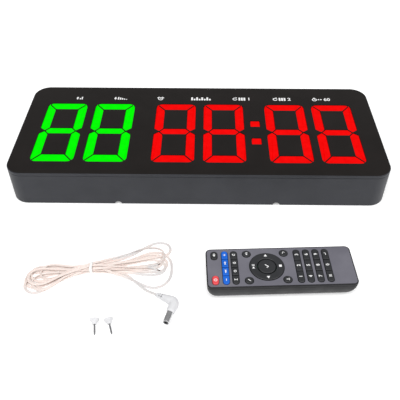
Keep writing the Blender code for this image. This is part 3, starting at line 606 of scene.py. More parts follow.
def twin_section():
    """The outline of two wires side by side with a thin web between them."""
    r = LEAD_THICKNESS / 2
    offset = LEAD_WIDTH / 2 - r
    opening = acos(offset * 0.86 / r)
    right = arc((offset, 0.0), r, -pi + opening, pi - opening, 6)
    return right + [(-x, -y) for x, y in right]


def smoothed(values):
    """Each value's mean with its neighbours."""
    count = 2 * SMOOTH_REACH + 1
    return np.convolve(np.pad(values, SMOOTH_REACH, "edge"), np.full(count, 1 / count), "valid")


def twist_ups(route):
    """The flat side's normal along the route.

    It turns slowly, as far as the height over the floor leaves room, and not at all at the tie or the plug.
    """
    run = np.arange(len(route)) * LEAD_SPACING
    free = np.clip((np.abs(route[:, 0] - TIE[0]) - FLAT_AT_TIE) / FREE_OF_TIE, 0, 1)
    free *= np.clip(run / FREE_OF_PLUG, 0, 1)
    waves = sum(height * np.sin(run / length + start) for height, length, start in TWISTS)
    half = LEAD_THICKNESS / 2
    rise = (route[:, 2] - half - FLOOR_ROOM) / (LEAD_WIDTH / 2 - half)
    room = np.arcsin(np.clip(rise, 0.0, 1.0))
    starts = [max(i - SMOOTH_REACH, 0) for i in range(len(room))]
    room = smoothed([room[start : i + SMOOTH_REACH + 1].min() for i, start in enumerate(starts)])
    ups = []
    for direction, turn in zip(np.gradient(route, axis=0), np.clip(free * waves, -room, room)):
        direction = Vector(direction / np.linalg.norm(direction))
        side = direction.cross(UP).normalized()
        ups.append(side.cross(direction) * cos(turn) + side * sin(turn))
    return ups


def crowding_of(route):
    """How closely other strands lie about each point of the route, from 0 to 1. The sheath's painted light
    follows it.
    """
    gaps = np.linalg.norm(route[:, None, :2] - route[None, :, :2], axis=2)
    others = (gaps < CROWD_REACH) & (points_apart(route) > CROWD_SKIP)
    return smoothed(np.clip(others.sum(axis=1) / CROWD_COUNT - CROWD_FREE, 0.0, 1.0))


def make_wire_ends(end, along):
    """The two cores where the pair is split: a short sheathed stretch, then tinned strands."""
    side = along.cross(UP).normalized()
    level = UP.cross(side)
    made = []
    for number, hand in ((1, -1), (2, 1)):
        route = []
        for share in (0.0, 0.25, 0.5, 0.75, 1.0):
            aside = hand * (CORE_OFFSET + CORE_SPREAD * share**1.5)
            drop = CORE_DROP * sin(share * pi / 2) ** 2
            route.append(end + level * (CORE_LENGTH * share) + side * aside - UP * drop)
        onward = route[-1] - route[-2]
        onward.z = 0.0
        tip = [route[-1] + onward.normalized() * distance for distance, _ in STRANDS]
        sleeve = tube(route, [circle(CORE_RADIUS, 12)] * len(route))
        strands = tube(tip, [circle(radius, 12) for _, radius in STRANDS])
        made.append(piece(f"wire_end_{number}", sleeve, "power_lead", "clear_lead"))
        # The tinned strands wear copper darkened as painted shade.
        made.append(piece(f"tinned_end_{number}", strands, "power_lead", "steel", paints=["copper_in_painted_shade"]))
    return made


def make_tie():
    """A soft white band round the bundle."""
    width, low, high, wall, flank = 8.5, 0.05, 6.9, 0.75, 1.1
    outer = rounded_rectangle(width, high - low, 2.2, 8, (0.0, (low + high) / 2))
    edge = ((flank - 0.25, 0.0), (flank, 0.25), (flank, wall - 0.2), (flank - 0.25, wall))
    section = [*edge, *[(-x, step) for x, step in reversed(edge)]]
    bm = loft([(inset(outer, step), x) for x, step in section], closed=True)
    place = shift(*TIE) @ spin(90) @ spin(90, "X")
    return piece("tie_band", bm, "power_lead", "white_plastic", ["hank_tie"], place, ["tie_white"])


def make_power_lead():
    route = hank_route()
    centres = [Vector(point) for point in route]
    section = twin_section()
    bm = tube(centres, [section] * len(centres), twist_ups(route))
    lead = piece("lead_cord", bm, "power_lead", "clear_lead", ["lead", "lead_hank"])
    # Painted light: how closely strands lie, for the sheath to paint crowded stretches pinker.
    painted_bundle_light = lead.data.attributes.new("painted_bundle_light", "FLOAT", "POINT")
    painted_bundle_light.data.foreach_set("value", np.repeat(crowding_of(route), len(section)))
    ends = make_wire_ends(centres[-1], (centres[-1] - centres[-3]).normalized())
    on_it = [make_tie(), *make_plug(), *ends]


# ---------------- printed marks


def ribbon(centre, radius, width, start, end, steps=14):
    """A curved band, as an outline. Angles are in degrees."""
    a, b = radians(start), radians(end)
    return arc(centre, radius + width / 2, a, b, steps) + arc(centre, radius - width / 2, b, a, steps)


def bar(x0, y0, x1, y1, width=0.17):
    along = Vector((x1 - x0, y1 - y0)).normalized() * width / 2
    across = Vector((-along.y, along.x))
    ends = (Vector((x0, y0)) - along, Vector((x1, y1)) + along)
    corners = (ends[0] - across, ends[1] - across, ends[1] + across, ends[0] + across)
    return [(p.x, p.y) for p in corners]


def triangle(x, y, size, angle=0.0):
    """It points along angle in degrees, 0 being right."""
    c, s = cos(radians(angle)), sin(radians(angle))
    points = ((size * 0.5, 0.0), (-size * 0.4, size * 0.5), (-size * 0.4, -size * 0.5))
    return [(x + px * c - py * s, y + px * s + py * c) for px, py in points]


def box_outline(x0, y0, x1, y1):
    return [(x0, y0), (x1, y0), (x1, y1), (x0, y1)]


def columns(left, pitch, width, tops, low=-0.5):
    return [box_outline(left + pitch * k, low, left + pitch * k + width, top) for k, top in enumerate(tops)]


def ring_shape(x, y, radius, width=0.17):
    return [ribbon((x, y), radius, width, 0, 180), ribbon((x, y), radius, width, 180, 360)]


def speaker(x):
    return [(x - 0.5, -0.17), (x - 0.3, -0.17), (x, -0.45), (x, 0.45), (x - 0.3, 0.17), (x - 0.5, 0.17)]


def repeat_arrow(x=0.0):
    return [ribbon((x, 0.0), 0.36, 0.19, 60, 350), triangle(x + 0.27, 0.36, 0.46, -35)]


def stopwatch(x=0.0):
    return ring_shape(x, -0.06, 0.38) + [bar(x - 0.1, 0.5, x + 0.1, 0.5), bar(x, -0.06, x + 0.15, 0.12, 0.1)]


GLASS = [(-0.32, 0.46), (0.32, 0.46), (0.0, 0.0)]
ROUND_BARS = [*repeat_arrow(-1.3), *columns(-0.6, 0.48, 0.34, (0.48, 0.48, 0.48), -0.48)]

# Each mark's outlines, in heights of the mark, with its middle at zero.
MARKS = {
    "power": [ribbon((0.0, 0.0), 0.4, 0.14, 125, 415), bar(0.0, 0.12, 0.0, 0.5)],
    "mute": [speaker(0.1), bar(0.28, -0.22, 0.6, 0.22, 0.12), bar(0.28, 0.22, 0.6, -0.22, 0.12)],
    "minus": [bar(-0.35, 0.0, 0.35, 0.0, 0.2)],
    "plus": [bar(-0.35, 0.0, 0.35, 0.0, 0.2), bar(0.0, -0.35, 0.0, 0.35, 0.2)],
    "fast_back": [triangle(-0.38, 0.0, 0.75, 180), triangle(0.32, 0.0, 0.75, 180)],
    "fast_forward": [triangle(-0.32, 0.0, 0.75), triangle(0.38, 0.0, 0.75)],
    "timer": [
        GLASS, [(-x, -y) for x, y in GLASS],
        bar(-0.32, 0.48, 0.32, 0.48, 0.12), bar(-0.32, -0.48, 0.32, -0.48, 0.12),
    ],
    "clock": [*ring_shape(0.0, 0.0, 0.42), bar(0.0, 0.0, 0.0, 0.24, 0.1), bar(0.0, 0.0, 0.18, -0.08, 0.1)],
    "stopwatch": stopwatch(),
    "rounds": repeat_arrow(),
    "edit": [bar(-0.22, -0.22, 0.3, 0.3, 0.26), triangle(-0.4, -0.4, 0.24, 225)],
    "sound": [speaker(-0.05), *[ribbon((-0.1, 0.0), radius, 0.12, -45, 45, 6) for radius in (0.36, 0.6)]],
    "save": [bar(0.0, 0.1, 0.0, 0.45), triangle(0.0, -0.05, 0.5, 270), bar(-0.4, -0.42, 0.4, -0.42)],
    "return": [ribbon((0.05, 0.0), 0.32, 0.14, -100, 120), triangle(-0.22, 0.32, 0.42, 195)],
    "menu": [bar(-0.4, y, 0.4, y) for y in (-0.34, 0.0, 0.34)],
    "enter": [
        bar(0.42, 0.35, 0.42, -0.12), bar(-0.2, -0.12, 0.42, -0.12), triangle(-0.36, -0.12, 0.44, 180),
    ],
    "ok": [bar(-0.38, 0.0, -0.1, -0.32), bar(-0.1, -0.32, 0.42, 0.34)],
    "play_pause": [triangle(-0.5, 0.0, 0.95), *[bar(x, -0.38, x, 0.38, 0.2) for x in (0.3, 0.72)]],
    "stop": [box_outline(-0.42, -0.42, 0.42, 0.42)],
    "arrow": [triangle(0.0, 0.0, 1.0)],
    "count_up": [
        triangle(-0.5, 0.22, 0.66, 90), box_outline(-0.65, -0.5, -0.35, 0.12),
        *columns(0.0, 0.42, 0.28, (0.0, 0.5)),
    ],
    "count_down": [
        triangle(-1.15, -0.22, 0.66, 270), box_outline(-1.3, -0.12, -1.0, 0.5),
        *columns(-0.62, 0.46, 0.3, (0.5, 0.3, 0.1, -0.1, -0.3)),
    ],
    "alarm": [
        *ring_shape(0.0, -0.05, 0.46), bar(0.0, -0.05, 0.0, 0.2, 0.13), bar(0.0, -0.05, 0.2, -0.05, 0.13),
        bar(-0.62, 0.3, -0.38, 0.54, 0.2), bar(0.62, 0.3, 0.38, 0.54, 0.2),
    ],
    "intervals": columns(-1.9, 0.49, 0.34, (0.5, 0.0) * 4),
    "rounds_one": ROUND_BARS,
    "rounds_two": ROUND_BARS,
    "every_minute": [*stopwatch(-1.25), *[circle(0.17, 16, (x, 0.0)) for x in (-0.45, 0.0)]],
}
MARK_THICKNESS = 0.06
MARK_STEP = 0.003
CAPITAL_HEIGHT = 0.7


def merge(bm, other, place):
    """Moves other to its place and adds it to bm. It uses other up."""
    bmesh.ops.recalc_face_normals(other, faces=other.faces)
    mesh = bpy.data.meshes.new("merged")
    moved(other, place).to_mesh(mesh)
    other.free()
    bm.from_mesh(mesh)
    bpy.data.meshes.remove(mesh)


def add_mark(bm, name, height, place, paint):
    """A mark printed on a face: place puts the mark's middle on the face, in millimetres.

    Each outline stands a little over the last, so that no two tops share a plane where they cross.
    """
    marks = bmesh.new()
    for number, outline in enumerate(MARKS[name]):
        sized = [(x * height, y * height) for x, y in outline]
        top = MARK_THICKNESS / 2 + MARK_STEP * number
        loft([(sized, -MARK_THICKNESS / 2), (sized, top)], paint, onto=marks)
    merge(bm, marks, place)


def add_numeral(bm, text, height, place, paint):
    curve = bpy.data.curves.new("numeral", "FONT")
    curve.body = text
    curve.size = height / CAPITAL_HEIGHT
    curve.align_x = curve.align_y = "CENTER"
    curve.extrude = MARK_THICKNESS / 2
    curve.offset = height * 0.03
    curve.resolution_u = 3
    glyph = read_back(link("numeral", curve))
    bpy.data.curves.remove(curve)
    bmesh.ops.remove_doubles(glyph, verts=glyph.verts, dist=1e-4)
    for face in glyph.faces:
        face.material_index = paint
    merge(bm, glyph, place)


# ---------------- display, in millimetres

GAP = 0.3
CASE_CORNER = 15.7
CASE_WALL = 2.4
CASE_LIP_WIDTH = 6.0
CASE_LIP_DEPTH = 2.0
COVER_THICKNESS = 2.4
DIGIT_WIDTH = 41.2
DIGIT_HEIGHT = 94.0
DIGIT_CORNER = 6.5
UPRIGHT_WIDTH = 9.5
END_BAR_HEIGHT = 11.0
MIDDLE_BAR_HEIGHT = 9.5
WAIST_DEPTH = 5.5
WAIST_HALF_HEIGHT = 4.5
WINDOW_WEB = 0.6
LENS_GAP = 0.45
COLON_SQUARE = 10.2
COLON_PITCH = 27.8
PRINT_DEPTH = 0.05

BOSSES = (165.3, 61.3)
BOSS_RADIUS = 5.2
SCREW_HOLE_RADIUS = 1.7
SCREW_POCKET_RADIUS = 3.0
SCREW_SINK = 1.6
SCREW_TURN = degrees(0.4)
SCREW_PROFILE = ((0.6, 9.5), (1.3, 8.5), (1.3, 1.3), (2.65, 1.3), (2.65, 0.6), (2.4, 0.28), (1.6, 0.15))
KEYHOLES = (110.0, 22.0)
# A keyhole's radius, and its slot's width and length.
KEYHOLE = (4.8, 4.4, 11.0)
VENTS_X = [side * 45.0 + 5.0 * k for side in (-1, 1) for k in range(-2, 3)]
# A vent's ends and its width.
VENT = (-30.0, -14.0, 1.8)
POSTS_X = (-155.0, 0.0, 155.0)
POSTS_Y = (-47.0, 38.0)
POST_RADIUS = 3.0
PRY_NOTCHES_X = (-74.5, 73.0)
PRY_NOTCH_RADIUS = 3.2
JACK_X = 120.0
JACK_Z = 17.0
JACK_HOLE_RADIUS = 4.5
JACK_BLOCK = (9.0, 11.0)
JACK_BORE_RADIUS = 3.0
JACK_BORE_END = 3.0
JACK_PIN_RADIUS = 1.0

# Each printed mark: its name, x, height and number.
FACE_MARKS = (
    ("count_up", -125.8, 4.5, ""),
    ("count_down", -83.0, 4.6, ""),
    ("alarm", -41.0, 4.8, ""),
    ("intervals", 1.3, 5.4, ""),
    ("rounds_one", 43.8, 5.4, "1"),
    ("rounds_two", 85.8, 5.4, "2"),
    ("every_minute", 126.5, 5.4, "60"),
)
FACE_MARKS_Y = 50.0
FACE_MARKS_RISE = 0.01
NUMERAL_HEIGHT = 4.8
NUMERAL_STEP = 7.6
DIGIT_STEP_BACK = 1.4


def node_box(name):
    """A CAD node's lowest and highest corner in millimetres."""
    return [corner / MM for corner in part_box(name)]


def node_outline(node, radius, steps=20, step_in=0.0):
    """A CAD node's rounded outline from above, moved inwards by step_in."""
    low, high = node_box(node)
    width, height, _ = high - low
    corner = radius - step_in
    return rounded_rectangle(width - 2 * step_in, height - 2 * step_in, corner, steps, ((low + high) / 2)[:2])


def along_y(x, y, z):
    """Turns a piece's own Z to +Y and moves it."""
    return shift(x, y, z) @ spin(-90, "X")


def along_x(x, y, z, direction=1):
    """Turns a piece's own Z to +X or -X and moves it."""
    return shift(x, y, z) @ spin(90 * direction, "Y")


def corners_of(x, y):
    return [(sx * x, sy * y) for sx in (-1, 1) for sy in (-1, 1)]


def pry_notches():
    """The cutter of the two half-round notches through the near wall's lower edge and the rear cover's."""
    near = -node_box("housing")[0].y
    bm = bmesh.new()
    for x in PRY_NOTCHES_X:
        block(circle(PRY_NOTCH_RADIUS, 32, (x, 0.0)), near - 5.5, near + 2.0, bm)
    return moved(bm, spin(90, "X"))


def make_case():
    _, far, top = node_box("housing")[1]
    seat = top - CASE_LIP_DEPTH
    section = [*reversed(quarter(0.8)), *[(step, top - drop) for step, drop in quarter(0.55)]]
    section += [(CASE_LIP_WIDTH, top), (CASE_LIP_WIDTH, seat), (CASE_WALL, seat - 0.8), (CASE_WALL, 0.0)]
    levels = [(node_outline("housing", CASE_CORNER, step_in=step), z) for step, z in section]
    hole = moved(block(circle(JACK_HOLE_RADIUS, 48), -4.0, 4.0), along_y(JACK_X, far, JACK_Z))
    bm = carved(loft(levels, closed=True), [hole, pry_notches()])
    for centre in corners_of(*BOSSES):
        block(circle(BOSS_RADIUS, 24, centre), COVER_THICKNESS + GAP, top - 1.0, bm)
    piece("case_shell", bm, "display", "case_plastic", ["housing"])


def mirrored(points, sx, sy):
    """The outline with its signs changed, still running anticlockwise."""
    made = [(sx * x, sy * y) for x, y in points]
    return made if sx == sy else made[::-1]


def segment_outlines():
    """The seven bars of one digit about its centre, touching along their mitres."""
    w, h = DIGIT_WIDTH / 2, DIGIT_HEIGHT / 2
    inner_x, inner_y = w - UPRIGHT_WIDTH, h - END_BAR_HEIGHT
    tip_x, half_middle = w - WAIST_DEPTH, MIDDLE_BAR_HEIGHT / 2
    corner = (w - DIGIT_CORNER, h - DIGIT_CORNER)
    right_half = arc(corner, DIGIT_CORNER, 0.0, pi / 4, 6)
    top_half = arc(corner, DIGIT_CORNER, pi / 4, pi / 2, 6)
    upright = [(tip_x, 0.0), (w, WAIST_HALF_HEIGHT), *right_half, (inner_x, inner_y), (inner_x, half_middle)]
    top = [*top_half, *mirrored(top_half, -1, 1), (-inner_x, inner_y), (inner_x, inner_y)]
    middle = [(tip_x, 0.0), (inner_x, half_middle), (-inner_x, half_middle)]
    sides = [mirrored(upright, sx, sy) for sy in (1, -1) for sx in (1, -1)]
    return [top, *sides[:2], [*middle, *mirrored(middle, -1, -1)], *sides[2:], mirrored(top, 1, -1)]


def colon_outlines():
    half = COLON_SQUARE / 2
    return [box_outline(-half, y - half, half, y + half) for y in (COLON_PITCH / 2, -COLON_PITCH / 2)]


def lit_groups(gap, corner):
    """Each lit group's CAD node, its light, and its bars, narrowed by gap and with rounded corners.

    Digits are numbered from 1, and 0 is the colon.
    """
    for number in (1, 2, 3, 4, 5, 6, 0):
        node = f"digit_module_{number}" if number else "colon_module"
        x, y, _ = sum(node_box(node), Vector()) / 2
        bars = [
            softened(inset([(px + x, py + y) for px, py in outline], gap), corner)
            for outline in (segment_outlines() if number else colon_outlines())
        ]
        yield node, "green_light" if number in (1, 2) else "red_light", bars


def make_front_panel():
    low, high = node_box("front_panel")
    top = high.z - PRINT_DEPTH
    groups = lit_groups(WINDOW_WEB / 2, 0.6)
    wells = [lipped_hole(window, low.z, top, 0.12) for *_, windows in groups for window in windows]
    outline, rim = node_outline("front_panel", CASE_CORNER), [*quarter(0.6), (0.75, 0.0)]
    bm = plate(outline, wells, low.z, top, rim, rim_paint=1)
    paints = ["panel_plastic", "case_plastic"]
    piece("face_panel", bm, "display", "panel_plastic", ["front_panel"], paints=paints)


def make_digits():
    shoulder = node_box("front_panel")[0].z - GAP
    crown = ((0.0, -3.0), (0.0, -0.35), (0.1, -0.12), (0.3, 0.0))
    for node, light, bars in lit_groups(WINDOW_WEB / 2 + LENS_GAP, 0.5):
        low, high = node_box(node)
        base = node_outline(node, 1.0, 4)
        bm = loft([(base, low.z), (base, shoulder - 0.5), (inset(base, 0.5), shoulder)], 1)
        for outline in bars:
            loft([(inset(outline, step), high.z + z) for step, z in crown], onto=bm)
        name = node.replace("module", "light")
        piece(name, bm, "display", light, [node], paints=[light, "black_plastic"])


def make_face_marks():
    face = node_box("front_panel")[1].z - PRINT_DEPTH + FACE_MARKS_RISE
    for name, x, height, number in FACE_MARKS:
        bm = bmesh.new()
        add_mark(bm, name, height, shift(x, FACE_MARKS_Y, face), 0)
        if number:
            beside = x + NUMERAL_STEP - DIGIT_STEP_BACK * (len(number) - 1)
            add_numeral(bm, number, NUMERAL_HEIGHT, shift(beside, FACE_MARKS_Y, face), 0)
        piece(f"print_{name}", bm, "display", "white_plastic", paints=["printed_white"])


def keyhole(x, y, radius, slot_width, slot_length):
    """A round entry hole with a narrow slot above it."""
    half = slot_width / 2
    meet = acos(half / radius)
    entry = arc((x, y), radius, pi - meet, 2 * pi + meet, 28)
    return arc((x, y + slot_length), half, 0.0, pi, 12) + entry


def slot_outline(x, low, high, width, round_low=True, round_high=True, steps=14):
    """A slot along Y, each end round or square."""
    half = width / 2
    points = [(x + half, high), (x - half, high)]
    if round_high:
        points = arc((x, high - half), half, 0.0, pi, steps)
    if round_low:
        return points + arc((x, low + half), half, pi, 2 * pi, steps)
    return points + [(x - half, low), (x + half, low)]


def make_rear_cover():
    """It is made face up and turned over, so that its eased edges are on the outside."""
    step = COVER_THICKNESS - SCREW_SINK
    wells = []
    for centre in corners_of(*BOSSES):
        pocket, hole = circle(SCREW_POCKET_RADIUS, 32, centre), circle(SCREW_HOLE_RADIUS, 32, centre)
        ease = [(pocket, COVER_THICKNESS - 0.2), (inset(pocket, -0.2), COVER_THICKNESS)]
        wells.append([(hole, 0.0), (hole, step), (pocket, step), *ease])
    holes = [keyhole(side * KEYHOLES[0], KEYHOLES[1], *KEYHOLE) for side in (-1, 1)]
    holes += [slot_outline(x, *VENT) for x in VENTS_X]
    wells += [lipped_hole(hole, 0.0, COVER_THICKNESS, 0.25) for hole in holes]
    outline = node_outline("rear_cover", CASE_CORNER - CASE_WALL - GAP)
    flat = plate(outline, wells, 0.0, COVER_THICKNESS, quarter(0.4, 3))
    over = shift(0.0, 0.0, COVER_THICKNESS) @ Matrix.Diagonal((1, 1, -1, 1))
    bm = carved(moved(flat, over), [pry_notches()])
    post_top = node_box("rear_cover")[1].z
    for centre in [(x, y) for x in POSTS_X for y in POSTS_Y]:
        block(circle(POST_RADIUS, 20, centre), COVER_THICKNESS - 0.5, post_top, bm)
    piece("back_plate", bm, "display", "cover_plastic", ["rear_cover"])


def make_screws():
    """Countersunk heads with a cross recess, each turned a little further than the last."""
    for number, (x, y) in enumerate(corners_of(*BOSSES), 1):
        angles = (SCREW_TURN * number, SCREW_TURN * number + 90)
        slots = [moved(block(rounded_rectangle(3.0, 0.55, 0.2, 3), -0.5, 0.75), spin(a)) for a in angles]
        bm = carved(turned(SCREW_PROFILE, 40), slots)
        piece(f"screw_{number}", bm, "display", "steel", [f"cover_screw_{number}"], shift(x, y))


def make_socket():
    """The power socket: a moulded block with a round bore and a sprung pin."""
    low, high = node_box("dc_jack")
    count, depth = 48, high.y - low.y
    outer = rounded_rectangle(*JACK_BLOCK, 1.0, count // 4 - 1)
    mouth, bore, seat = (circle(radius, count) for radius in (JACK_BORE_RADIUS + 0.3, JACK_BORE_RADIUS, 1.4))
    bm = loft([
        (outer, 0.0), (outer, depth - 0.3), (inset(outer, 0.3), depth), (mouth, depth),
        (bore, depth - 0.3), (bore, JACK_BORE_END), (seat, JACK_BORE_END),
    ])
    pin = ((JACK_PIN_RADIUS, 2.5), (JACK_PIN_RADIUS, depth - 2.0), (0.8, depth - 1.2), (0.3, depth - 1.0))
    turned(pin, 24, 1, onto=bm)
    place = along_y(JACK_X, low.y, JACK_Z)
    piece("power_socket", bm, "display", "black_plastic", ["dc_jack"], place, ["black_plastic", "steel"])


# ---------------- remote, in millimetres about its own middle

REMOTE_LENGTH = 119.5
REMOTE_WIDTH = 40.0
REMOTE_TOP = 16.0
REMOTE_CORNER = 4.2
REMOTE_PLACE = shift(67.8, -157.8) @ spin(2.67)
SHELL_SPLIT = 13.4
# The lower shell's outside and inside, as (inset, height) pairs.
BELLY = ((5.0, 0.0), (3.7, 1.0), (2.3, 3.0), (1.1, 6.0), (0.3, 9.5), (0.0, SHELL_SPLIT))
HOLLOW = ((5.2, 1.5), (3.9, 3.0), (2.7, 6.0), (1.8, 9.5), (1.5, 15.0))
# The battery bay, the door's slot and the door: length, width, corner radius, steps and middle.
BAY = rounded_rectangle(46.0, 21.8, 0.6, 3, (31.0, 0.0))
DOOR_SLOT = rounded_rectangle(56.0, 21.8, 0.6, 3, (36.0, 0.0))
DOOR = rounded_rectangle(46.2, 21.2, 0.5, 3, (31.4, 0.0))
DOOR_SLOT_TOP = 1.1
DOOR_THICKNESS = 0.8
# Each finger grip's length and x.
GRIPS = ((7.9, 44.0), (9.3, 46.2), (9.3, 48.4), (7.9, 50.6))
LAMP_AXIS_Z = 8.0
LAMP_SEAT = 6.0
LAMP_HOLE_RADIUS = 2.9
LAMP_RADIUS = 2.5
LAMP_DOME = 2.0

KEY_PROUD = 0.7
KEY_TOP = REMOTE_TOP + KEY_PROUD
KEY_BOTTOM = 12.9
KEY_GAP = 0.35
KEY_WIDTH = 5.1
KEY_CROWN = ((0.0, -0.55), (0.04, -0.32), (0.16, -0.16), (0.38, -0.06), (0.75, -0.015), (1.1, 0.0))
KEY_MARK_HEIGHT = 2.3
KEY_NUMERAL_HEIGHT = 2.7
STRIP_REACH = 16.9
STRIP_KEY_GAP = 0.5
STRIPS = (
    (15.4, ("minus", "fast_back", "fast_forward", "plus"), "key_blue"),
    (23.0, ("timer", "clock", "stopwatch", "rounds"), "key_black"),
    (74.5, ("1", "2", "3"), "key_black"),
    (82.3, ("4", "5", "6"), "key_black"),
    (90.1, ("7", "8", "9"), "key_black"),
    (97.9, ("menu", "0", "enter"), "key_black"),
)
LONE_KEYS_X = 6.9
LONE_KEYS = (("power", -12.6, 8.7, "key_red"), ("mute", 12.6, 8.5, "key_black"))
CORNER_KEYS = (("edit", 33.5, -13.6), ("sound", 33.5, 13.6), ("save", 63.9, -13.6), ("return", 63.9, 13.6))
CORNER_KEY_RADIUS = 3.35
NAV_X = 48.8
NAV_RADIUS = 13.9
OK_RADIUS = 7.15
RING_GAP = 0.7


def remote_outline(step_in, steps=12):
    radius = REMOTE_CORNER + 0.3 * step_in
    return rounded_rectangle(REMOTE_LENGTH - 2 * step_in, REMOTE_WIDTH - 2 * step_in, radius, steps)


def from_left(distance):
    """Distance from the remote's infrared end, as X about its middle."""
    return distance - REMOTE_LENGTH / 2


def make_remote_face():
    width, reach = KEY_WIDTH + 2 * KEY_GAP, STRIP_REACH + KEY_GAP
    holes = [slot_outline(from_left(x), -reach, reach, width) for x, *_ in STRIPS]
    for _, y, length, _ in LONE_KEYS:
        half = length / 2 + KEY_GAP
        holes.append(slot_outline(from_left(LONE_KEYS_X), y - half, y + half, width))
    holes += [circle(CORNER_KEY_RADIUS + KEY_GAP, 32, (from_left(x), y)) for _, x, y in CORNER_KEYS]
    holes.append(circle(NAV_RADIUS + KEY_GAP, 72, (from_left(NAV_X), 0.0)))
    low = SHELL_SPLIT + GAP
    wells = [lipped_hole(hole, low, REMOTE_TOP, 0.15) for hole in holes]
    bm = plate(remote_outline(0.0), wells, low, REMOTE_TOP, [*quarter(0.6), (1.0, 0.0)], rim_paint=1)
    paints = ["remote_grey", "remote_black"]
    piece("remote_face", bm, "remote", "remote_grey", ["remote_top_shell"], REMOTE_PLACE, paints)


def make_remote_body():
    """The lower shell: a rounded belly, the battery bay and the lamp's hole."""
    insets, heights = zip(*BELLY)
    levels = [float(z) for z in np.linspace(0.0, 1.0, 15) ** 1.6 * SHELL_SPLIT]
    shell = loft([(remote_outline(float(np.interp(z, heights, insets))), z) for z in levels])
    cavity = loft([(remote_outline(step, 6), z) for step, z in HOLLOW])
    bay, slot = block(BAY, -1.0, 2.0), block(DOOR_SLOT, -1.0, DOOR_SLOT_TOP)
    lamp = block(circle(LAMP_HOLE_RADIUS, 40), -4.0, 4.0)
    lamp = moved(lamp, along_x(-REMOTE_LENGTH / 2, 0.0, LAMP_AXIS_Z))
    bm = carved(shell, [cavity, bay, slot, lamp])
    piece("remote_body", bm, "remote", "remote_black", ["remote_bottom_shell"], REMOTE_PLACE)


def make_battery_door():
    """A flat lid with finger grips."""
    door = loft([(inset(DOOR, 0.15), 0.0), (DOOR, 0.15), (DOOR, DOOR_THICKNESS)])
    grips = [block(rounded_rectangle(1.0, length, 0.4, 4, (x, 0.0)), -1.0, 0.35) for length, x in GRIPS]
    piece("battery_lid", carved(door, grips), "battery_door", "remote_black", ["battery_door"], REMOTE_PLACE)


def make_ir_window():
    """The lamp's dark dome, just behind its hole in the end wall."""
    shoulder, foot = LAMP_HOLE_RADIUS + 0.5, 3.6
    profile = [(shoulder, 0.0), (shoulder, 1.0), (LAMP_RADIUS, 1.0), (LAMP_RADIUS, foot)]
    profile += [(LAMP_RADIUS * cos(a), foot + LAMP_DOME * sin(a)) for a in (0.3, 0.6, 0.9, 1.2, 1.45)]
    place = REMOTE_PLACE @ along_x(LAMP_SEAT - REMOTE_LENGTH / 2, 0.0, LAMP_AXIS_Z, -1)
    piece("infrared_window", turned(profile, 40), "remote", "black_plastic", ["ir_lamp"], place)


def key_cap(outline):
    """A soft cap: straight sides, a round shoulder and a slightly crowned face."""
    levels = [(softened(inset(outline, step), 0.5), KEY_TOP + drop) for step, drop in KEY_CROWN]
    return loft([(softened(outline, 0.5), KEY_BOTTOM), *levels])


def mark_place(x, y):
    """Marks are read with the infrared end of the remote pointing away."""
    return shift(x, y, KEY_TOP) @ spin(90)


def make_key(name, outline, centre, colour, height=KEY_MARK_HEIGHT):
    bm = key_cap(outline)
    if name.isdigit():
        add_numeral(bm, name, KEY_NUMERAL_HEIGHT, mark_place(*centre), 1)
    else:
        add_mark(bm, name, height, mark_place(*centre), 1)
    body = f"key_{name}"
    piece(f"cap_{name}", bm, body, colour, [body], REMOTE_PLACE, [colour, "printed_white"])


def make_keys():
    for distance, names, colour in STRIPS:
        x, pitch = from_left(distance), 2 * STRIP_REACH / len(names)
        for i, name in enumerate(names):
            first, last = i == 0, i == len(names) - 1
            low = -STRIP_REACH + i * pitch + (0.0 if first else STRIP_KEY_GAP / 2)
            high = -STRIP_REACH + (i + 1) * pitch - (0.0 if last else STRIP_KEY_GAP / 2)
            centre = (x, -STRIP_REACH + (i + 0.5) * pitch)
            make_key(name, slot_outline(x, low, high, KEY_WIDTH, first, last), centre, colour)
    x = from_left(LONE_KEYS_X)
    for name, y, length, colour in LONE_KEYS:
        make_key(name, slot_outline(x, y - length / 2, y + length / 2, KEY_WIDTH), (x, y), colour, 2.8)
    for name, distance, y in CORNER_KEYS:
        centre = (from_left(distance), y)
        make_key(name, circle(CORNER_KEY_RADIUS, 40, centre), centre, "key_black", 2.4)
    centre = (from_left(NAV_X), 0.0)
    make_key("ok", circle(OK_RADIUS, 64, centre), centre, "key_black", 3.6)


def make_nav_ring():
    """The ring key round the middle key, with an arrow to either side and a mark at either end."""
    inner, centre = OK_RADIUS + RING_GAP, (from_left(NAV_X), 0.0)
    outer_edge = ((0.0, -0.7), (0.08, -0.35), (0.3, -0.12), (0.7, 0.0))
    inner_edge = ((0.6, 0.0), (0.2, -0.1), (0.0, -0.35))
    section = [(inner, KEY_BOTTOM), (NAV_RADIUS, KEY_BOTTOM)]
    section += [(NAV_RADIUS - step, KEY_TOP + z) for step, z in outer_edge]
    section += [(inner + step, KEY_TOP + z) for step, z in inner_edge]
    bm = moved(turned(section, 96, closed=True), shift(*centre))
    middle = (inner + NAV_RADIUS) / 2
    for mark, height, dx, dy, turn in (
        ("arrow", 2.7, 0.0, middle + 0.3, 0),
        ("arrow", 2.7, 0.0, -middle - 0.3, 180),
        ("play_pause", 2.4, -middle, 0.0, 0),
        ("stop", 2.6, middle, 0.0, 0),
    ):
        add_mark(bm, mark, height, mark_place(centre[0] + dx, centre[1] + dy) @ spin(turn), 1)
    paints = ["key_black", "printed_white"]
    piece("cap_ring", bm, "key_ring", "key_black", ["key_ring"], REMOTE_PLACE, paints)


# ---------------- plug and nails, in millimetres

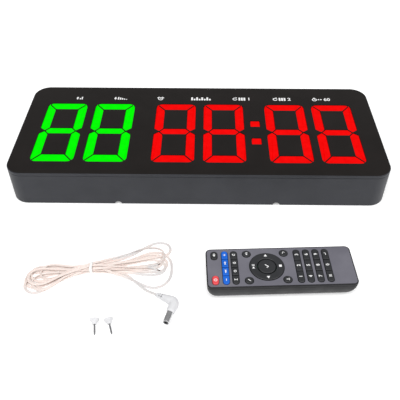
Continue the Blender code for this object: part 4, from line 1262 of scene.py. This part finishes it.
RELIEF_START = Vector((-31.1, -177.8, 3.2))
RELIEF_END = Vector((-25.0, -180.8, 3.9))
PLUG_CORNER = Vector((-16.1, -185.2, 4.1))
PLUG_MOUTH = Vector((-19.6, -195.3, 4.1))
BARREL_END = Vector((-22.2, -204.4, 4.1))
PLUG_RADIUS = 3.95
PLUG_BEND = 3.4
PLUG_TAPER = 9.0
MOUTH_TAPER = 0.55
MOUTH_ROUND = 0.9
NECK_RADIUS = 2.75
RELIEF_RADIUS = 1.75
RELIEF_STEPS = 12
RELIEF_SLITS = (0.42, 0.74)
SLIT_WIDTH = 1.05
SLIT_WEB = 0.9
BARREL_RADIUS = 2.75
BARREL_BORE_RADIUS = 1.05

# Each nail's head and tip on the floor.
NAILS = (((-77.2, -201.0), (-75.7, -213.2)), ((-66.7, -200.8), (-62.8, -212.4)))
NAIL_RADIUS = 3.9
NAIL_PIN = 0.65
NAIL_REACH = 11.0
NAIL_HEAD_PROFILE = (
    (0.9, 0.0), (2.2, 0.04), (3.1, 0.16), (3.65, 0.4), (3.87, 0.7), (NAIL_RADIUS, 1.0), (3.75, 1.35),
    (3.1, 2.1), (2.45, 3.1), (2.0, 4.1), (1.85, 4.6), (1.6, 4.8), (0.5, 4.8),
)
NAIL_PIN_PROFILE = ((0.6, 4.0), (NAIL_PIN, 4.4), (NAIL_PIN, 10.8), (0.5, 12.4), (0.12, 13.2))


def elbow(start, corner, end, radius, steps):
    """Points from start to end with a round bend of radius at the corner."""
    first, last = (corner - start).normalized(), (end - corner).normalized()
    turn = first.angle(last)
    reach = radius * tan(turn / 2)
    a = corner - first * reach
    axis = first.cross(last).normalized()
    centre = a + axis.cross(first) * radius
    bend = [centre + Matrix.Rotation(turn * k / steps, 3, axis) @ (a - centre) for k in range(steps + 1)]
    shares = [k / 8 for k in range(9)]
    run = [start.lerp(bend[0], share) for share in shares[:-1]]
    return run + bend + [bend[-1].lerp(end, share) for share in shares[1:]]


def relief_slits():
    """Pockets in the strain relief's upper side, in two pairs, that let it bend."""
    axis = (RELIEF_END - RELIEF_START).normalized()
    turn = spin(degrees(atan2(axis.y, axis.x)))
    cutters = []
    for share in RELIEF_SLITS:
        half = 0.35 + 0.5 * share
        place = Matrix.Translation(RELIEF_START.lerp(RELIEF_END, share)) @ turn
        for side in (-1, 1):
            middle = (0.0, side * (SLIT_WEB / 2 + half))
            pocket = rounded_rectangle(SLIT_WIDTH, 2 * half, 0.3, 3, middle)
            cutters.append(moved(block(pocket, -0.1, 4.0), place))
    return cutters


def plug_radii(body):
    """The radius at each point of the body, which is fullest at its elbow and has an eased mouth."""
    radii = []
    run = np.cumsum([0.0, *[(b - a).length for a, b in zip(body, body[1:])]])
    for travelled in run:
        left = run[-1] - travelled
        grown = sin(min(1.0, travelled / PLUG_TAPER) * pi / 2)
        radius = NECK_RADIUS + (PLUG_RADIUS - NECK_RADIUS) * grown
        radius -= MOUTH_TAPER * max(0.0, 1 - left / PLUG_TAPER)
        if left < MOUTH_ROUND:
            radius -= 0.5 * (1 - left / MOUTH_ROUND) ** 2
        radii.append(radius)
    return radii


def make_plug():
    """The lead's angled plug: a strain relief with slits, a body, and a barrel with a dark liner."""
    shares = [k / RELIEF_STEPS for k in range(RELIEF_STEPS)]
    body = elbow(RELIEF_END, PLUG_CORNER, PLUG_MOUTH, PLUG_BEND, 14)
    centres = [*[RELIEF_START.lerp(RELIEF_END, share) for share in shares], *body]
    radii = [RELIEF_RADIUS + (NECK_RADIUS - RELIEF_RADIUS) * share for share in shares] + plug_radii(body)
    radii[0] -= 0.25
    bm = tube(centres, [circle(radius, 40) for radius in radii], [UP] * len(centres))
    bm = carved(bm, relief_slits())
    shell = piece("plug_shell", bm, "power_lead", "white_plastic", ["plug_body"])
    axis = BARREL_END - PLUG_MOUTH
    length = axis.length
    sleeve = (
        (2.05, -0.5), (BARREL_RADIUS, -0.5), (BARREL_RADIUS, length - 0.5), (2.68, length - 0.15),
        (2.5, length), (2.05, length),
    )
    liner = (
        (BARREL_BORE_RADIUS, 0.5), (2.1, 0.5), (2.1, length - 0.25), (1.9, length - 0.12),
        (1.25, length - 0.12), (BARREL_BORE_RADIUS, length - 0.3),
    )
    bm = bmesh.new()
    for paint, profile in enumerate((sleeve, liner)):
        turned(profile, 48, paint, True, bm)
    place = Matrix.Translation(PLUG_MOUTH) @ axis.to_track_quat("Z", "Y").to_matrix().to_4x4()
    paints = ["steel", "black_plastic"]
    return [shell, piece("plug_tip", bm, "power_lead", "steel", ["plug_barrel"], place, paints)]


def make_nails():
    """Plastic-headed wall nails. Each lies on the rim of its head and the tip of its pin."""
    drop = atan((NAIL_RADIUS - NAIL_PIN) / NAIL_REACH)
    rim_height = NAIL_RADIUS * cos(drop) + sin(drop)
    for number, (head, tip) in enumerate(NAILS, 1):
        flat = (Vector((*tip, 0.0)) - Vector((*head, 0.0))).normalized()
        axis = flat * cos(drop) - UP * sin(drop)
        turn = axis.to_track_quat("Z", "Y").to_matrix().to_4x4()
        place = shift(*head, rim_height) @ turn
        body = f"wall_nail_{number}"
        head_mesh, pin_mesh = turned(NAIL_HEAD_PROFILE, 48), turned(NAIL_PIN_PROFILE, 24)
        piece(f"nail_head_{number}", head_mesh, body, "white_plastic", [body], place)
        piece(f"nail_pin_{number}", pin_mesh, body, "steel", (), place, ["dark_steel"])


# ---------------- the whole

CARRIED_OVER = {
    "main_board": "circuit_board",
    "remote_board": "circuit_board",
    "buzzer": "black_plastic",
    "ir_receiver": "black_plastic",
    "aaa_cell_1": "cell_wrap",
    "aaa_cell_2": "cell_wrap",
}


def paint_carried_nodes():
    """CAD nodes whose shape is right keep it and get a finish."""
    for name, paint in CARRIED_OVER.items():
        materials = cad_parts[name].data.materials
        materials.clear()
        materials.append(MATERIALS[paint])


def main():
    make_materials()
    add_camera()
    add_studio()
    make_floor()
    make_power_lead()
    make_nails()
    make_case()
    make_front_panel()
    make_digits()
    make_face_marks()
    make_rear_cover()
    make_screws()
    make_socket()
    make_remote_face()
    make_remote_body()
    make_battery_door()
    make_ir_window()
    make_keys()
    make_nav_ring()
    paint_carried_nodes()


main()
